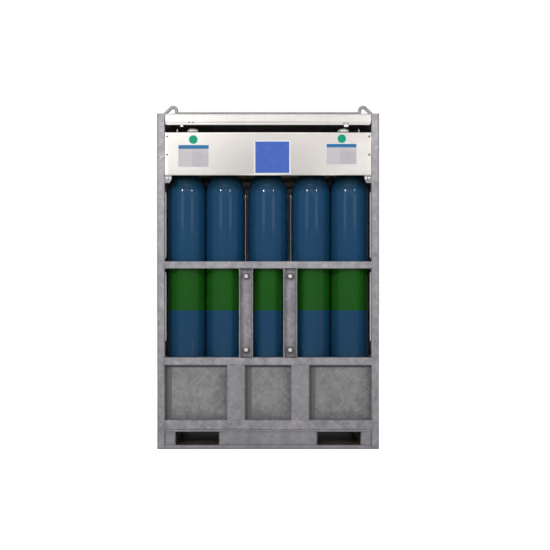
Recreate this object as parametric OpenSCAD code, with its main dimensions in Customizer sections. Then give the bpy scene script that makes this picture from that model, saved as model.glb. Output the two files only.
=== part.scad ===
// Gas cylinder bundle: fifteen cylinders in a galvanised frame with a manifold and two main valves.
// Millimetres, +Z up, the front faces -Y, the origin is on the ground under the middle of the base.

/* [Cylinders] */
// Outside diameter of one cylinder
cyl_d = 229; // [215:1:250]
// Wall of one cylinder
cyl_wall = 6; // [4:0.5:9]
// Height of one cylinder from its foot to the top of its neck
cyl_h = 1565; // [1450:5:1700]
// Height of the shoulder from the straight wall to the neck
shoulder_h = 150; // [100:1:180]
// Outside radius of a neck
neck_r = 22; // [19:0.5:28]
// Length of a neck above the shoulder
neck_h = 30; // [28:1:40]
// Radius of the bore in a neck
neck_bore_r = 13; // [10:0.5:15]
// Height of the hollow under the foot of a cylinder
foot_dish = 22; // [10:1:30]
// Free space between cylinders that stand side by side
cyl_gap = 1; // [0.5:0.5:6]
// Wider gap between columns where the tie rods pass
rod_gap = 30; // [27:1:44]
// Free space between the cylinders and the sheets or posts round them
edge_gap = 2; // [1:0.5:8]

/* [Frame] */
// Side of a square post, also the depth of the front and side members
post = 44; // [38:1:60]
// Wall of the posts and rails
tube_wall = 4; // [3:0.5:4.5]
// Outer edge radius of the posts and rails
edge_r = 5; // [5:0.5:8]
// Distance of the rails behind the face of the posts
rail_set = 2; // [1:0.5:2.5]
// Room above the cylinder necks up to the top of the frame
head_room = 294; // [280:1:360]
// Thickness of the flat bars on the roof edges
bar_t = 8; // [5:1:12]
// Depth of the flat bars on the roof edges
bar_d = 46; // [40:1:80]

/* [Base] */
// Thickness of the bottom flange that stands on the ground
skid_t = 18; // [10:1:30]
// Clear height of a fork pocket
pocket_h = 80; // [60:1:110]
// Clear width of a fork pocket
pocket_w = 256; // [160:2:280]
// Distance from a post to the middle of a fork pocket
pocket_in = 190; // [150:2:230]
// Wall of a fork pocket
pocket_wall = 5; // [4:0.5:8]
// Thickness of the floor plate and of the top flanges beside it
floor_t = 6; // [5:0.5:10]
// Distance of a base web behind the lips of its flanges
web_set = 10; // [6:1:14]
// Thickness of a base web
web_t = 8; // [6:1:10]

/* [Rails] */
// Height of the bottom rails
bottom_rail_h = 56; // [40:1:80]
// Height above the ground of the lower rails
lower_rail_z = 492; // [420:2:560]
// Height of the lower rails
lower_rail_h = 45; // [36:1:60]
// Height above the ground of the mid rails
mid_rail_z = 1058; // [960:2:1200]
// Height of the mid rails
mid_rail_h = 42; // [36:1:60]
// Height of the rear upper rail and of the rails under the roof
top_rail_h = 40; // [30:1:60]
// Distance of a mullion from the middle
mullion_x = 188; // [150:1:260]
// Width of a mullion
mullion_w = 107; // [60:1:140]
// Thickness of a mullion plate
mullion_t = 4; // [3:0.5:6]
// Thickness of the kick sheets and side panels
sheet_t = 3; // [1.5:0.5:5]
// Reach of a side panel fold past the inner face of its post
fold_reach = 5; // [2:0.5:8]
// Slant at the ends of a side panel fold
fold_slant = 24; // [8:1:40]
// Free space at the end of a fold away from the mid rail
fold_free = 74; // [30:2:120]
// Width of the rear uprights
upright_w = 40; // [30:1:60]

/* [Clamps] */
// Width of a clamp channel
channel_w = 82; // [74:1:100]
// Thickness of a clamp channel flange
flange_t = 8; // [6:0.5:10]
// Thickness of a clamp channel web
channel_web = 6; // [5:0.5:7]
// Distance of a tie rod from the end of its clamp channel
rod_inset = 44; // [40:1:90]
// Diameter of a tie rod
rod_d = 24; // [18:1:24]
// Play between a tie rod and the holes it passes through
rod_play = 1; // [0.5:0.25:1.25]
// Length of a tie rod past its nut
rod_end = 4; // [1:0.5:4]
// Width across the flats of a tie rod nut
nut_af = 36; // [34:1:40]
// Height of a tie rod nut
nut_h = 18; // [14:1:20]
// Diameter of a washer
washer_d = 46; // [44:1:56]
// Thickness of a washer
washer_t = 4; // [2:0.5:4]
// Width of a clamp block
block_w = 74; // [60:1:90]
// Height of a clamp block
block_h = 72; // [50:1:80]
// Distance of a clamp block nose before the cylinder axes
block_nose = 34; // [28:1:50]
// Play between a clamp block and its cylinders
block_play = 0.3; // [0.1:0.1:0.6]

/* [Covers] */
// Thickness of the stainless sheet
cover_t = 1.5; // [1:0.25:2.5]
// Height of the front cover
cover_h = 252; // [200:2:320]
// Height of the access slot above the front cover
slot_h = 42; // [32:1:46]
// Height of the roof aprons
apron_h = 67; // [50:1:72]
// Radius of the lower corners of an apron
apron_r = 14; // [6:1:24]
// Gap between an apron and the posts beside it
apron_gap = 4; // [2:0.5:10]
// Depth of the hems on covers and aprons
hem = 14; // [8:1:24]
// Distance of the covers behind the face of the posts
cover_set = 3; // [3:0.5:6]
// Gap between a cover and the posts beside it
cover_gap = 1; // [0.5:0.5:4]
// Width of a cover bracket
bracket_w = 40; // [30:1:60]
// Thickness of a cover bracket
bracket_t = 4; // [3:0.5:6]
// Drop of a front bracket below its cover
bracket_drop = 45; // [30:1:60]
// Height of the cut corner at the foot of a bracket
bracket_cut = 22; // [8:1:28]
// Distance of a bracket end inside the edges of its cover
bracket_end = 14; // [6:1:20]
// Distance of the cover screws from the posts
screw_in = 13; // [10:0.5:20]
// Distance of the upper screws below the top of a cover
screw_top = 25; // [20:1:50]
// Distance between the screws at one side of a cover
screw_pitch = 106; // [60:1:140]
// Radius of a cover screw
screw_r = 3; // [2:0.25:4]
// Radius of a cover screw head
screw_head_r = 6; // [5:0.25:8]
// Height of a cover screw head
screw_head_h = 2.6; // [1.5:0.1:3]
// Play between a cover screw and its holes
screw_play = 0.2; // [0.1:0.05:0.5]

/* [Lifting eyes] */
// Diameter of the bar of a lifting eye
eye_bar_d = 19; // [14:0.5:24]
// Bend radius of a lifting eye at the middle of its bar
eye_r = 20; // [18:0.5:30]
// Height of the bend middle above the roof
eye_h = 20; // [12:0.5:30]
// Distance of the bend middle from the post beside it
eye_in = 48; // [44:1:70]
// Lean of the outer leg of a lifting eye in degrees
eye_lean = 45; // [35:1:55]
// How much thinner the legs of a lifting eye are than its bend
eye_draw = 0.1; // [0.05:0.05:0.5]

/* [Manifold] */
// Width across the flats of a neck connector
connector_af = 36; // [30:1:42]
// Height of the hexagon of a neck connector
connector_hex_h = 12; // [8:1:16]
// Radius of the body of a neck connector
connector_r = 14; // [10:0.5:15]
// Height of the body of a neck connector
connector_h = 20; // [14:1:30]
// Radius of the port on a neck connector
port_r = 9; // [8.5:0.25:10]
// Height of the port on a neck connector
port_h = 10; // [6:1:14]
// Depth of a connector stem in its neck
stem_depth = 26; // [16:1:27]
// Play between a connector stem and its neck
stem_play = 0.3; // [0.1:0.1:0.5]
// Radius of the manifold header
header_r = 12; // [10:0.5:16]
// Length of the header past the last cylinder axis
header_end = 30; // [16:1:60]
// Radius of the nipples on the header
nipple_r = 8.5; // [7.5:0.25:9]
// Length of a nipple from the header axis
nipple_l = 26; // [20:1:34]
// Radius of a bent pigtail tube
pigtail_r = 5; // [3:0.5:7]
// Radius of a straight riser in the middle row
riser_r = 7; // [4:0.5:7]
// Radius of the bore of a straight riser
riser_bore = 3; // [2:0.25:3.5]
// Bend radius of a pigtail
bend_r = 34; // [20:1:35]
// Radius of a header branch that feeds a main valve
branch_r = 9; // [7:0.5:11]
// Bend radius of a header branch
elbow_r = 22; // [18:0.5:24]

/* [Main valves] */
// Distance of a main valve from the posts beside it
valve_off = 159.5; // [156:0.5:205]
// Distance of a main valve axis behind the face of the posts
valve_in = 72; // [68:1:84]
// Radius of a main valve body
valve_r = 17; // [15:0.5:20]
// Height of a main valve body
valve_h = 52; // [48:1:54]
// Height of the outlet above the foot of a main valve
outlet_z = 24; // [22:0.5:28]
// Radius of an outlet thread
outlet_r = 10.9; // [8:0.1:12]
// Length of an outlet thread past its collar
outlet_l = 22; // [16:1:30]
// Radius of the collar behind an outlet thread
collar_r = 13.5; // [12.5:0.25:15]
// Length of the collar past the valve body
collar_l = 3; // [2:0.5:6]
// Radius of the gas passages
passage_r = 4; // [2:0.5:5]
// Radius of the boss that bears on the valve bar
boss_r = 12; // [8:0.5:14]
// Reach of the vent fitting beside a main valve
vent_reach = 92; // [50:1:110]
// Radius of the vent fitting
vent_r = 5.5; // [4:0.5:7]
// Height of the vent fitting above its branch
vent_h = 74; // [40:1:80]
// Distance of the valve bar behind the face of the posts
valve_bar_in = 24; // [20:1:28]
// Thickness of the valve bar
valve_bar_t = 8; // [6:1:10]
// Height of the valve bar
valve_bar_h = 40; // [30:1:50]
// Radius of a valve spindle
spindle_r = 5; // [4:0.25:6]
// Running play of a spindle in its bores
spindle_play = 0.05; // [0.02:0.01:0.09]
// Width across the flats of a gland nut
gland_af = 27; // [22:1:32]
// Height of a gland nut
gland_h = 11; // [8:0.5:12]
// Radius of a handwheel
wheel_r = 34; // [30:0.5:40]
// Height of a handwheel
wheel_h = 30; // [22:0.5:34]
// Radius of a handwheel hub
wheel_hub_r = 10; // [9:0.5:12]
// Width of a handwheel rim
wheel_rim = 9; // [6:0.5:11]
// Depth of the blind bore in a handwheel
wheel_bore = 20; // [12:0.5:22]
// Radius of the finger hollows in a handwheel
wheel_hollow_r = 8; // [5:0.5:10]
// Gap between a handwheel and what is under it
wheel_gap = 3; // [2:0.5:5]

/* [Hidden] */
columns = 5;
rows = 3;
hollows = 7;
arc_steps = 3;
shoulder_steps = 12;
$fn = 48;
eps = 1;
row_names = ["front", "middle", "rear"];

inner_w = columns*cyl_d + 2*cyl_gap + 2*rod_gap + 2*edge_gap;
width = inner_w + 2*post;
side_d = edge_gap + sheet_t + post;
depth = rows*cyl_d + (rows - 1)*cyl_gap + 2*side_d;
inner_d = depth - 2*post;
front = -depth/2;
half_w = inner_w/2;
rail_d = post - rail_set;
rod_x = (cyl_d + rod_gap)/2;

base_h = skid_t + 2*pocket_wall + pocket_h + floor_t;
pocket_x = half_w - pocket_in;
pocket_ow = pocket_w + 2*pocket_wall;
pocket_oh = pocket_h + 2*pocket_wall;
lip_low = skid_t + pocket_wall;
lip_top = floor_t + pocket_wall;
web_y = rail_set + web_set;

bottom_rail_top = base_h + bottom_rail_h;
lower_rail_top = lower_rail_z + lower_rail_h;
mid_rail_top = mid_rail_z + mid_rail_h;
channel_h = mid_rail_z - lower_rail_top;
rod_z = [lower_rail_top + rod_inset, mid_rail_z - rod_inset];

neck_z = base_h + cyl_h;
frame_h = neck_z + head_room;
roof_z = frame_h - bar_t;
apron_z = roof_z - apron_h;
cover_top = apron_z - slot_h;
cover_z = cover_top - cover_h;
rear_rail_z = cover_z - rail_set - top_rail_h;
side_rail_z = roof_z - cover_t - top_rail_h;
bracket_y = cover_set + cover_t;

connector_top = neck_z + connector_hex_h + connector_h + port_h;
wheel_z = cover_top + wheel_gap;
gland_z = wheel_z - wheel_gap - gland_h;
valve_z = gland_z - valve_h;
header_z = valve_z - elbow_r;
valve_x = half_w - valve_off;
valve_y = front + valve_in;
valve_bar_z = valve_z + outlet_z - valve_bar_h/2;
row_pitch = cyl_d + cyl_gap;

galvanised = [0.62, 0.64, 0.66];
stainless = [0.84, 0.84, 0.84];
blue = [0.05, 0.15, 0.33];
brass = [0.72, 0.56, 0.24];
steel = [0.55, 0.56, 0.58];
black = [0.08, 0.08, 0.08];
cast = [0.70, 0.70, 0.70];

function col_x(c) = let (k = abs(c - 2))
    sign(c - 2)*(k*cyl_d + min(k, 1)*rod_gap + max(k - 1, 0)*cyl_gap);
function row_y(r) = (r - 1)*row_pitch;
function cyl_name(r, c) = str("cylinder_", row_names[r], "_", c + 1);
function arc(x, y, r, a0, a1) =
    [for (i = [0:arc_steps]) let (a = a0 + (a1 - a0)*i/arc_steps) [x + r*cos(a), y + r*sin(a)]];
function round_rect(w, h, r) = concat(
    arc(w - r, h - r, r, 0, 90),
    arc(r, h - r, r, 90, 180),
    arc(r, r, r, 180, 270),
    arc(w - r, r, r, 270, 360));

module left_if(left) {
    mirror([left ? 1 : 0, 0, 0]) children();
}

module rear_if(rear) {
    mirror([0, rear ? 1 : 0, 0]) children();
}

// draws its children at the right and mirrored at the left
module both_sides() {
    for (left = [false, true])
        left_if(left) children();
}

// draws its children at the front and mirrored at the rear
module both_ends() {
    for (rear = [false, true])
        rear_if(rear) children();
}

module tube_2d(w, h) {
    difference() {
        polygon(round_rect(w, h, edge_r));
        translate([tube_wall, tube_wall])
            polygon(round_rect(w - 2*tube_wall, h - 2*tube_wall, edge_r - tube_wall));
    }
}

// a rail across the front between the posts
module cross_rail(z, h) {
    translate([-half_w, front + rail_set, z])
        rotate([90, 0, 90])
            linear_extrude(inner_w) tube_2d(rail_d, h);
}

// a rail along the right side between the posts
module long_rail(z, h) {
    translate([half_w, inner_d/2, z])
        rotate([90, 0, 0])
            linear_extrude(inner_d) tube_2d(rail_d, h);
}

module corner_post() {
    color(galvanised)
    translate([half_w, front, 0])
        difference() {
            linear_extrude(roof_z) polygon(round_rect(post, post, edge_r));
            translate([tube_wall, tube_wall, -eps])
                linear_extrude(roof_z - tube_wall + eps)
                    polygon(round_rect(post - 2*tube_wall, post - 2*tube_wall, edge_r - tube_wall));
        }
}

// section of a base beam, with its outer face towards negative x
module beam_2d() {
    polygon([
        [rail_set, 0], [post, 0], [post, skid_t], [web_y + web_t, skid_t],
        [web_y + web_t, base_h - floor_t], [post, base_h - floor_t], [post, base_h], [rail_set, base_h],
        [rail_set, base_h - lip_top], [web_y, base_h - lip_top], [web_y, lip_low], [rail_set, lip_low]
    ]);
}

module base_beam_end() {
    color(galvanised)
    difference() {
        translate([-half_w, front, 0])
            rotate([90, 0, 90])
                linear_extrude(inner_w) beam_2d();
        both_sides()
            translate([pocket_x - pocket_ow/2, front + web_y, skid_t])
                cube([pocket_ow, web_t + eps, pocket_oh]);
    }
}

module base_beams_side() {
    color(galvanised)
    both_sides()
        translate([half_w + post, inner_d/2, 0])
            mirror([1, 0, 0])
                rotate([90, 0, 0])
                    linear_extrude(inner_d) beam_2d();
}

module fork_pocket() {
    color(galvanised)
    translate([pocket_x, front + web_y, skid_t])
        difference() {
            translate([-pocket_ow/2, 0, 0])
                cube([pocket_ow, depth - 2*web_y, pocket_oh]);
            translate([-pocket_w/2, -eps, pocket_wall])
                cube([pocket_w, depth, pocket_h]);
        }
}

module floor_plate() {
    color(galvanised)
    translate([-half_w, -inner_d/2, base_h - floor_t])
        cube([inner_w, inner_d, floor_t]);
}

module lower_cross_rails() {
    cross_rail(base_h, bottom_rail_h);
    cross_rail(lower_rail_z, lower_rail_h);
    cross_rail(mid_rail_z, mid_rail_h);
}

// a rail behind an apron that carries the roof edge and the lifting eyes
module top_cross_rail() {
    set = cover_set + cover_t + cover_gap;
    translate([-half_w, front + set, side_rail_z])
        rotate([90, 0, 90])
            linear_extrude(inner_w) tube_2d(post - set, top_rail_h);
}

// four rails and the bar that carries the main valves
module front_rails() {
    color(galvanised) {
        lower_cross_rails();
        top_cross_rail();
        translate([-half_w, front + valve_bar_in, valve_bar_z])
            cube([inner_w, valve_bar_t, valve_bar_h]);
    }
}

module rear_rails() {
    color(galvanised)
    rear_if(true) {
        lower_cross_rails();
        cross_rail(rear_rail_z, top_rail_h);
        top_cross_rail();
    }
}

module side_rails() {
    color(galvanised)
    both_sides() {
        long_rail(base_h, bottom_rail_h);
        long_rail(lower_rail_z, lower_rail_h);
        long_rail(mid_rail_z, mid_rail_h);
        long_rail(side_rail_z, top_rail_h);
    }
}

module mullions() {
    color(galvanised)
    both_ends()
    both_sides()
        translate([mullion_x - mullion_w/2, front + rail_set, bottom_rail_top])
            difference() {
                cube([mullion_w, rail_d, lower_rail_z - bottom_rail_top]);
                translate([mullion_t, mullion_t, -eps])
                    cube([mullion_w - 2*mullion_t, rail_d, lower_rail_z]);
            }
}

module kick_sheet() {
    color(galvanised)
    translate([-half_w, front + post, base_h])
        cube([inner_w, sheet_t, lower_rail_top - base_h]);
}

module side_kick_sheets() {
    color(galvanised)
    both_sides()
        translate([half_w + rail_d/2, -inner_d/2, bottom_rail_top])
            cube([sheet_t, inner_d, lower_rail_z - bottom_rail_top]);
}

// a sheet from z0 to z1 between two posts, with folds behind the posts that run from low to high
module side_panel(z0, z1, low, high) {
    fold_w = fold_reach + rail_d/2 + sheet_t;
    translate([half_w + rail_d/2, -inner_d/2, z0])
        cube([sheet_t, inner_d, z1 - z0]);
    both_ends()
        translate([half_w - fold_reach, front + post + sheet_t, 0])
            rotate([90, 0, 0])
                linear_extrude(sheet_t)
                    polygon([[0, low + fold_slant], [fold_w, low], [fold_w, high], [0, high - fold_slant]]);
}

module side_panels() {
    color(galvanised)
    both_sides() {
        side_panel(lower_rail_top, mid_rail_z, lower_rail_top + fold_free, mid_rail_z);
        side_panel(mid_rail_top, cover_z, mid_rail_top, cover_z - fold_free);
    }
}

module clamp_channels() {
    color(galvanised)
    both_ends()
    both_sides()
        difference() {
            translate([rod_x - channel_w/2, front + rail_set, lower_rail_top])
                cube([channel_w, rail_d, channel_h]);
            translate([rod_x - channel_w/2 + flange_t, front, lower_rail_top - eps])
                cube([channel_w - 2*flange_t, post - channel_web, channel_h + 2*eps]);
            for (z = rod_z)
                translate([rod_x, front, z])
                    rotate([-90, 0, 0])
                        cylinder(h = post + eps, r = rod_d/2 + rod_play);
        }
}

module rear_uprights() {
    color(galvanised)
    both_sides()
        translate([rod_x - upright_w/2, -front - post, mid_rail_top])
            linear_extrude(rear_rail_z - mid_rail_top) tube_2d(upright_w, rail_d);
}

module tie_rods() {
    start = post - channel_web - washer_t - nut_h - rod_end;
    color(steel)
    both_sides()
        for (z = rod_z)
            translate([rod_x, front + start, z])
                rotate([-90, 0, 0])
                    cylinder(h = depth - 2*start, r = rod_d/2);
}

module tie_rod_nuts() {
    color(steel)
    both_ends()
    both_sides()
        for (z = rod_z)
            translate([rod_x, front + post - channel_web - washer_t, z])
                rotate([90, 0, 0])
                    difference() {
                        cylinder(h = nut_h, r = nut_af/2/cos(30), $fn = 6);
                        translate([0, 0, -eps])
                            cylinder(h = nut_h + 2*eps, r = rod_d/2 + rod_play/4);
                    }
}

module tie_rod_washers() {
    color(steel)
    both_ends()
    both_sides()
        for (z = rod_z)
            translate([rod_x, front + post - channel_web, z])
                rotate([90, 0, 0])
                    difference() {
                        cylinder(h = washer_t, r = washer_d/2);
                        translate([0, 0, -eps])
                            cylinder(h = washer_t + 2*eps, r = rod_d/2 + rod_play);
                    }
}

// blocks in the valleys between two columns, behind the clamp channels
module clamp_blocks() {
    color(black)
    both_ends()
    both_sides()
        for (z = rod_z)
            difference() {
                translate([rod_x - block_w/2, front + post, z - block_h/2])
                    cube([block_w, row_y(0) - block_nose - front - post, block_h]);
                for (x = [col_x(2), col_x(3)])
                    translate([x, row_y(0), z - block_h])
                        cylinder(h = 2*block_h, r = cyl_d/2 + block_play);
                translate([rod_x, front, z])
                    rotate([-90, 0, 0])
                        cylinder(h = -front, r = rod_d/2 + rod_play);
            }
}

module top_bars() {
    w = half_w - eye_in - eye_r - eye_bar_d/2 - cover_gap;
    color(galvanised)
    both_ends()
        translate([-w, front + rail_set, roof_z])
            cube([2*w, bar_d, bar_t]);
}

// a bent bar: a slanted leg from the post, a bend and an upright leg, cut level at its foot
module lifting_eye() {
    bar_r = eye_bar_d/2;
    slant_l = (eye_h + eye_r)/sin(eye_lean) + eye_bar_d;
    color(galvanised)
    translate([half_w - eye_in, front + rail_set + bar_d/2, roof_z + eye_h])
        rotate([90, 0, 0])
            difference() {
                union() {
                    rotate([0, 0, eye_lean])
                        rotate_extrude(angle = 180 - eye_lean)
                            translate([eye_r, 0]) circle(r = bar_r);
                    translate([eye_r*cos(eye_lean), eye_r*sin(eye_lean), 0])
                        rotate([0, 90, eye_lean - 90])
                            cylinder(h = slant_l, r = bar_r - eye_draw);
                    translate([-eye_r, 0, 0])
                        rotate([90, 0, 0])
                            cylinder(h = eye_h + eps, r = bar_r - eye_draw);
                }
                translate([-slant_l, -eye_h - 2*slant_l, -slant_l])
                    cube([3*slant_l, 2*slant_l, 2*slant_l]);
            }
}

module apron() {
    w = half_w - apron_gap;
    translate([0, front + cover_set + cover_t, apron_z])
        rotate([90, 0, 0])
            linear_extrude(cover_t)
                polygon(concat(
                    [[w, apron_h], [-w, apron_h]],
                    arc(-w + apron_r, apron_r, apron_r, 180, 270),
                    arc(w - apron_r, apron_r, apron_r, 270, 360)));
    translate([apron_r - w, front + cover_set, apron_z])
        cube([2*(w - apron_r), hem, cover_t]);
}

// a folded tray: a flat top notched round the posts, with an apron at the front and at the rear
module roof_cover() {
    color(stainless) {
        translate([0, 0, roof_z - cover_t])
            linear_extrude(cover_t)
                union() {
                    square([2*(half_w - apron_gap), depth - 2*cover_set], center = true);
                    square([2*(half_w + rail_d), inner_d - 2*apron_gap], center = true);
                }
        both_ends() apron();
    }
}

module screw_places() {
    both_sides()
        for (z = [cover_top - screw_top, cover_top - screw_top - screw_pitch])
            translate([half_w - screw_in, front + cover_set, z])
                rotate([-90, 0, 0])
                    children();
}

module end_cover(top) {
    w = half_w - cover_gap;
    low_w = half_w - bracket_w - edge_gap;
    color(stainless)
    difference() {
        translate([0, front + cover_set, 0]) {
            translate([-w, 0, cover_z]) cube([2*w, cover_t, top - cover_z]);
            translate([-w, 0, top - cover_t]) cube([2*w, hem, cover_t]);
            translate([-low_w, 0, cover_z]) cube([2*low_w, hem, cover_t]);
        }
        screw_places()
            translate([0, 0, -eps])
                cylinder(h = cover_t + 2*eps, r = screw_r + screw_play);
    }
}

module side_covers() {
    color(stainless)
    both_sides()
        translate([half_w + rail_d/2, -inner_d/2, cover_z])
            cube([cover_t, inner_d, side_rail_z - cover_z]);
}

// a plate on the inner face of a post behind the cover, with a cut corner at its foot
module bracket(z0) {
    translate([half_w, front + bracket_y + bracket_t, 0])
        rotate([90, 0, 0])
            linear_extrude(bracket_t)
                polygon([
                    [0, z0], [0, cover_top - bracket_end], [-bracket_w, cover_top - bracket_end],
                    [-bracket_w, z0 + bracket_cut], [bracket_cut/2 - bracket_w, z0]
                ]);
}

module bracket_pair(z0) {
    difference() {
        both_sides() bracket(z0);
        screw_places()
            cylinder(h = bracket_y + bracket_t, r = screw_r + screw_play);
    }
}

module cover_brackets() {
    color(galvanised) {
        bracket_pair(cover_z - bracket_drop);
        rear_if(true) bracket_pair(cover_z + bracket_end);
    }
}

module cover_screws() {
    length = cover_t + 2*bracket_t;
    color(steel)
    both_ends()
    screw_places()
        rotate_extrude()
            polygon([
                [0, -screw_head_h], [screw_head_r/2, -screw_head_h], [screw_head_r, -screw_head_h/2],
                [screw_head_r, 0], [screw_r, 0], [screw_r, length], [0, length]
            ]);
}

// a hollow bottle turned from one outline: dished foot, straight wall, shoulder and neck
module gas_cylinder(r, c) {
    ro = cyl_d/2;
    ri = ro - cyl_wall;
    foot_r = ro/5;
    straight = cyl_h - neck_h - shoulder_h;
    inside = foot_dish + 2*cyl_wall;
    color(blue)
    translate([col_x(c), row_y(r), base_h])
        rotate_extrude()
            polygon(concat(
                [[0, foot_dish], [ro - 2*foot_r, 0]],
                arc(ro - foot_r, foot_r, foot_r, 270, 360),
                [for (i = [0:shoulder_steps]) let (t = 90*i/shoulder_steps)
                    [neck_r + (ro - neck_r)*cos(t), straight + shoulder_h*sin(t)]],
                [[neck_r, cyl_h], [neck_bore_r, cyl_h]],
                [for (i = [shoulder_steps:-1:0]) let (t = 90*i/shoulder_steps)
                    [neck_bore_r + (ri - neck_bore_r)*cos(t), straight + (shoulder_h - cyl_wall)*sin(t)]],
                [[ri, inside + foot_r/2], [ri - foot_r/2, inside], [0, inside]]));
}

module neck_connectors() {
    color(brass)
    for (r = [0:rows - 1], c = [0:columns - 1])
        translate([col_x(c), row_y(r), neck_z])
            difference() {
                union() {
                    cylinder(h = connector_hex_h, r = connector_af/2/cos(30), $fn = 6);
                    translate([0, 0, -stem_depth])
                        cylinder(h = stem_depth + eps, r = neck_bore_r - stem_play);
                    cylinder(h = connector_hex_h + connector_h, r = connector_r);
                    cylinder(h = connector_top - neck_z, r = port_r);
                }
                translate([0, 0, -stem_depth - eps])
                    cylinder(h = connector_top - neck_z + stem_depth + 2*eps, r = passage_r);
            }
}

// a tube that rises from a connector, bends and runs to the header
module bent_tube(r) {
    rise = header_z - bend_r - connector_top;
    run = row_pitch - nipple_l - bend_r;
    cylinder(h = rise, r = r);
    translate([0, bend_r, rise])
        rotate([90, 0, -90])
            rotate_extrude(angle = 90)
                translate([bend_r, 0]) circle(r = r);
    translate([0, bend_r, rise + bend_r])
        rotate([-90, 0, 0])
            cylinder(h = run, r = r);
}

module pigtails() {
    color(steel)
    for (c = [0:columns - 1]) {
        both_ends()
            translate([col_x(c), row_y(0), connector_top])
                bent_tube(pigtail_r);
        translate([col_x(c), 0, connector_top])
            difference() {
                cylinder(h = header_z - nipple_l - connector_top, r = riser_r);
                translate([0, 0, -eps])
                    cylinder(h = header_z, r = riser_bore);
            }
    }
}

// one branch from the header to the foot of a main valve
module branch() {
    translate([valve_x, valve_y + elbow_r, header_z])
        rotate([-90, 0, 0])
            cylinder(h = -valve_y - elbow_r, r = branch_r);
    translate([valve_x, valve_y + elbow_r, valve_z])
        rotate([0, 90, 180])
            rotate_extrude(angle = 90)
                translate([elbow_r, 0]) circle(r = branch_r);
}

module manifold_header() {
    length = 2*(col_x(columns - 1) + header_end);
    color(steel) {
        translate([-length/2, 0, header_z])
            rotate([0, 90, 0])
                cylinder(h = length, r = header_r);
        for (c = [0:columns - 1])
            translate([col_x(c), 0, header_z]) {
                translate([0, -nipple_l, 0])
                    rotate([-90, 0, 0])
                        cylinder(h = 2*nipple_l, r = nipple_r);
                translate([0, 0, -nipple_l])
                    cylinder(h = nipple_l, r = nipple_r);
            }
        both_sides() branch();
    }
}

// a forged body with an outlet towards the middle, a boss on the valve bar and a vent fitting
module valve_body() {
    boss_l = valve_in - valve_bar_in - valve_bar_t;
    outlet_end = valve_r + collar_l + outlet_l;
    color(brass)
    translate([valve_x, valve_y, valve_z])
        difference() {
            union() {
                cylinder(h = valve_h, r = valve_r);
                translate([0, 0, outlet_z]) {
                    rotate([0, -90, 0])
                        cylinder(h = outlet_end, r = outlet_r);
                    rotate([0, -90, 0])
                        cylinder(h = valve_r + collar_l, r = collar_r);
                    rotate([90, 0, 0])
                        cylinder(h = boss_l, r = boss_r);
                    rotate([0, 90, 0])
                        cylinder(h = vent_reach, r = vent_r - eps);
                    translate([vent_reach, 0, -vent_r])
                        cylinder(h = vent_h, r = vent_r);
                }
            }
            translate([0, 0, outlet_z])
                cylinder(h = valve_h, r = spindle_r + spindle_play);
            translate([0, 0, -eps])
                cylinder(h = outlet_z + 2*eps, r = passage_r);
            translate([0, 0, outlet_z])
                rotate([0, -90, 0])
                    cylinder(h = outlet_end + eps, r = passage_r);
        }
}

module gland_nuts() {
    color(brass)
    both_sides()
        translate([valve_x, valve_y, gland_z])
            difference() {
                cylinder(h = gland_h, r = gland_af/2/cos(30), $fn = 6);
                translate([0, 0, -eps])
                    cylinder(h = gland_h + 2*eps, r = spindle_r + spindle_play);
            }
}

module spindle() {
    foot = valve_z + outlet_z + passage_r;
    color(steel)
    translate([valve_x, valve_y, foot])
        cylinder(h = wheel_z + wheel_bore - foot, r = spindle_r);
}

// a domed wheel turned from one outline, with finger hollows round its rim
module handwheel() {
    bore = spindle_r + spindle_play;
    dome = [for (i = [0:arc_steps]) let (t = 90*i/arc_steps) [wheel_r*cos(t), wheel_h/2*(1 + sin(t))]];
    color(cast)
    translate([valve_x, valve_y, wheel_z])
        difference() {
            rotate_extrude()
                polygon(concat([
                    [0, wheel_bore], [bore, wheel_bore], [bore, 0], [wheel_hub_r, 0],
                    [wheel_hub_r, wheel_h/3], [wheel_r - wheel_rim, wheel_h/3],
                    [wheel_r - wheel_rim*2/3, wheel_h/8], [wheel_r - wheel_rim/8, wheel_h/8],
                    [wheel_r, wheel_h/4]
                ], dome));
            for (i = [0:hollows - 1])
                rotate([0, 0, 360*i/hollows])
                    translate([wheel_r + wheel_hollow_r/2, 0, -eps])
                        cylinder(h = wheel_h + 2*eps, r = wheel_hollow_r);
        }
}

left_if(true) corner_post();  // post_front_left
corner_post();  // post_front_right
rear_if(true) left_if(true) corner_post();  // post_rear_left
rear_if(true) corner_post();  // post_rear_right
base_beam_end();  // base_beam_front
rear_if(true) base_beam_end();  // base_beam_rear
base_beams_side();
left_if(true) fork_pocket();  // fork_pocket_left
fork_pocket();  // fork_pocket_right
floor_plate();
front_rails();
rear_rails();
side_rails();
mullions();
kick_sheet();  // front_kick_sheet
rear_if(true) kick_sheet();  // rear_kick_sheet
side_kick_sheets();
side_panels();
clamp_channels();
rear_uprights();
tie_rods();
tie_rod_nuts();
tie_rod_washers();
clamp_blocks();
top_bars();
left_if(true) lifting_eye();  // lifting_eye_front_left
lifting_eye();  // lifting_eye_front_right
rear_if(true) left_if(true) lifting_eye();  // lifting_eye_rear_left
rear_if(true) lifting_eye();  // lifting_eye_rear_right
roof_cover();
end_cover(cover_top);  // front_cover
rear_if(true) end_cover(apron_z);  // rear_cover
side_covers();
cover_brackets();
cover_screws();
neck_connectors();
pigtails();
manifold_header();
left_if(true) valve_body();  // valve_body_left
valve_body();  // valve_body_right
gland_nuts();
left_if(true) spindle();  // spindle_left
spindle();  // spindle_right
left_if(true) handwheel();  // handwheel_left
handwheel();  // handwheel_right
for (r = [0:rows - 1], c = [0:columns - 1])
    gas_cylinder(r, c);
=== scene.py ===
"""Looks of a gas cylinder bundle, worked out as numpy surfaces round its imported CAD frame.

Places come from the boxes and levels of the CAD nodes, apart from those of the plates and small fasteners on
the front. Everything is in metres, +Z is up and the front faces -Y.
"""

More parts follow.
